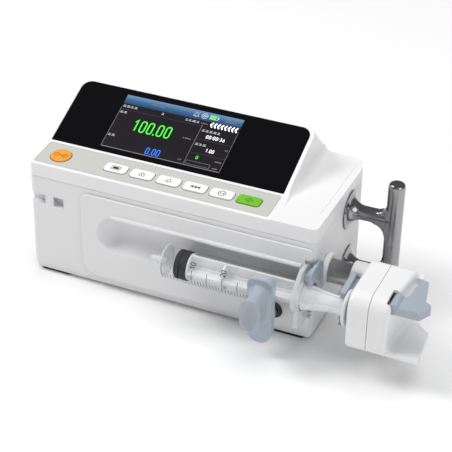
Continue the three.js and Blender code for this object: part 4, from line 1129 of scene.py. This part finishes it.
def plate_fillet():
    """A concave blend between the finger plate and the slanted wall."""
    r, x, z = 7.0, HEAD["right"] + 0.1, 29.6
    ring = [(x - 2, z - 1), (x + r, z - 1), (x + r, z)]
    ring += [(x + r - r * sin(radians(t)), z + r - r * cos(radians(t))) for t in range(9, 91, 9)]
    ring += [(x - 2, z + r)]
    fall = HEAD["slant"] / (HEAD["back"] - HEAD["front"])
    start, end = -25.6, 17.5
    lift = fall * (start - HEAD["front"])
    return swept([(a + lift, start, b) for a, b in ring], (fall * (end - start), end - start, 0))


def head_right():
    body = head_solid()
    cut(body, block(20, HEAD["seam"] + 0.2, -60, 60, 0, 120))
    joined(body, plate_fillet(), finger_plate())
    lug = block(72, 79.5, 20.5, 25.5, 60, 66)
    softened(lug, 0.8, 3)
    joined(body, lug)
    hollow = along("x", head_outline(2.5), 50, 95)
    cut(hollow, slant_tool(2.5))
    cut(body, hollow)
    x, z, reach = LEVER_X, LEVER_Z, 4.7
    cut(body, rod("y", x, z, reach, -22.6, -6.5, 48))
    mouth = [(x, z - reach), (92, z - reach), (92, 80), (x - reach, 80), (x - reach, z)]
    cut(body, along("y", mouth, -22.6, -6.5))
    emit("head_shell_right", body, "pusher", HEAD_WHITE, ["pusher_shell_right"])


def lever_rod(r, start, end, sides=32):
    return rod("y", LEVER_X, LEVER_Z, r, start, end, sides)


def lever():
    plan = [(67, -22), (89.5, -22), (94.6, -12), (93.6, -9), (89.5, -6.6), (88.6, -4.2), (84.7, 16),
            (83.2, 18), (79.4, 18), (78.3, 16.6), (76.5, -4.4), (74.5, -7), (67, -7)]
    body = along("z", plan, 60.2, 66.6)
    joined(body, lever_rod(4.2, -22, -7, 64))
    softened(body, 1.0, 4)
    cut(body, lever_rod(1.9, -24, -5))
    joined(body, cut(lever_rod(2.4, -21.9, -7.1), lever_rod(1.9, -20.9, -8.1)))
    emit("lever_moulding", body, "lever", BLUE_GREY, ["release_lever"])


def claws():
    for name, node, body_name, sign in (("claw_top_moulding", "claw_upper", "claw_top", 1),
                                        ("claw_low_moulding", "claw_lower", "claw_bottom", -1)):
        hub_z, tip_z = AXIS_Z + sign * CLAW_RISE, AXIS_Z + sign * 11.3
        side = degrees(atan2(tip_z - hub_z, -15 - CLAW_Y)) + 90
        tip = arc(-15, tip_z, 2.6, side, side + 180, 12)
        hub = arc(CLAW_Y, hub_z, 3.2, side + 180, side + 360, 12)
        body = along("x", tip + hub, 29.3, 33.3)
        softened(body, 1.1, 4)
        joined(body, rod("x", CLAW_Y, hub_z, 2.2, 31, 46.3, 32))
        emit(name, body, body_name, BLUE_GREY, [node])
    pad = turned([(36.4, 0), (36.4, 9.2), (36.7, 9.8), (37.2, 10), (38.5, 10), (38.5, 0)], AXIS_Y, AXIS_Z, 64)
    emit("pad_disc", pad, "pusher", PAD, ["thrust_pad"])


# ---- rear sockets and the CAD's own pieces

def sockets():
    x, z = MAINS["x"], MAINS["z"]
    body = along("y", socket_shape(MAINS), 90, BACK)
    cut(body, along("y", rounded(x - 11.5, z - 7.5, x + 11.5, z + 7.5, [1, 1, 4, 4], 8), BACK - 16, BACK + 1))
    softened(body, 0.4, 3)
    for dx, dz in ((-7, -2.5), (7, -2.5), (0, -4)):
        blade = block(x + dx - 1, x + dx + 1, BACK - 17, BACK - 3, z + dz - 2, z + dz + 2)
        joined(body, softened(blade, 0.3, 2))
    emit("mains_socket", body, "housing", DARK, ["mains_inlet"])
    x, z = DATA["x"], DATA["z"]
    body = along("y", socket_shape(DATA), 96, BACK)
    cut(body, along("y", rounded(x - 6, z - 4, x + 6, z + 4, 0.6, 4), BACK - 13, BACK + 1))
    softened(body, 0.35, 3)
    emit("data_socket", body, "housing", DARK, ["data_port"])


def finish_cad_nodes():
    """The inner pieces keep their CAD shapes and get the same materials as the rest."""
    finishes = {
        STEEL: ["base_screw_1", "base_screw_2", "base_screw_3", "base_screw_4", "clamp_shaft", "clamp_collar",
                "clamp_spring", "lever_pin", "lead_screw", "screw_bearing_left", "screw_bearing_right",
                "guide_rod", "release_rod"],
        ALUMINIUM: ["chassis_left", "chassis_right"],
        BRASS: ["screw_gear", "motor_pinion", "half_nut"],
        BOARD: ["keypad_board", "main_board", "power_board"],
        MOTOR: ["motor"],
        DARK: ["display_module", "carriage", "battery_pack", "speaker"],
    }
    for material, nodes in finishes.items():
        for node in nodes:
            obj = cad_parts[node]
            obj.data.materials.clear()
            obj.data.materials.append(material)


upper_case()
lower_case()
cradle_panel()
key_strip()
key_gaskets()
keys()
display_glass()
screen_ground()
screen_labels()
screen_small_labels()
screen_numbers()
screen_icons()
feet()
side_handle()
syringe_tube()
syringe_flange()
syringe_scale()
stopper()
plunger()
barrel_clamp()
flange_clip()
tube_parts()
head_left()
head_right()
lever()
claws()
sockets()
finish_cad_nodes()
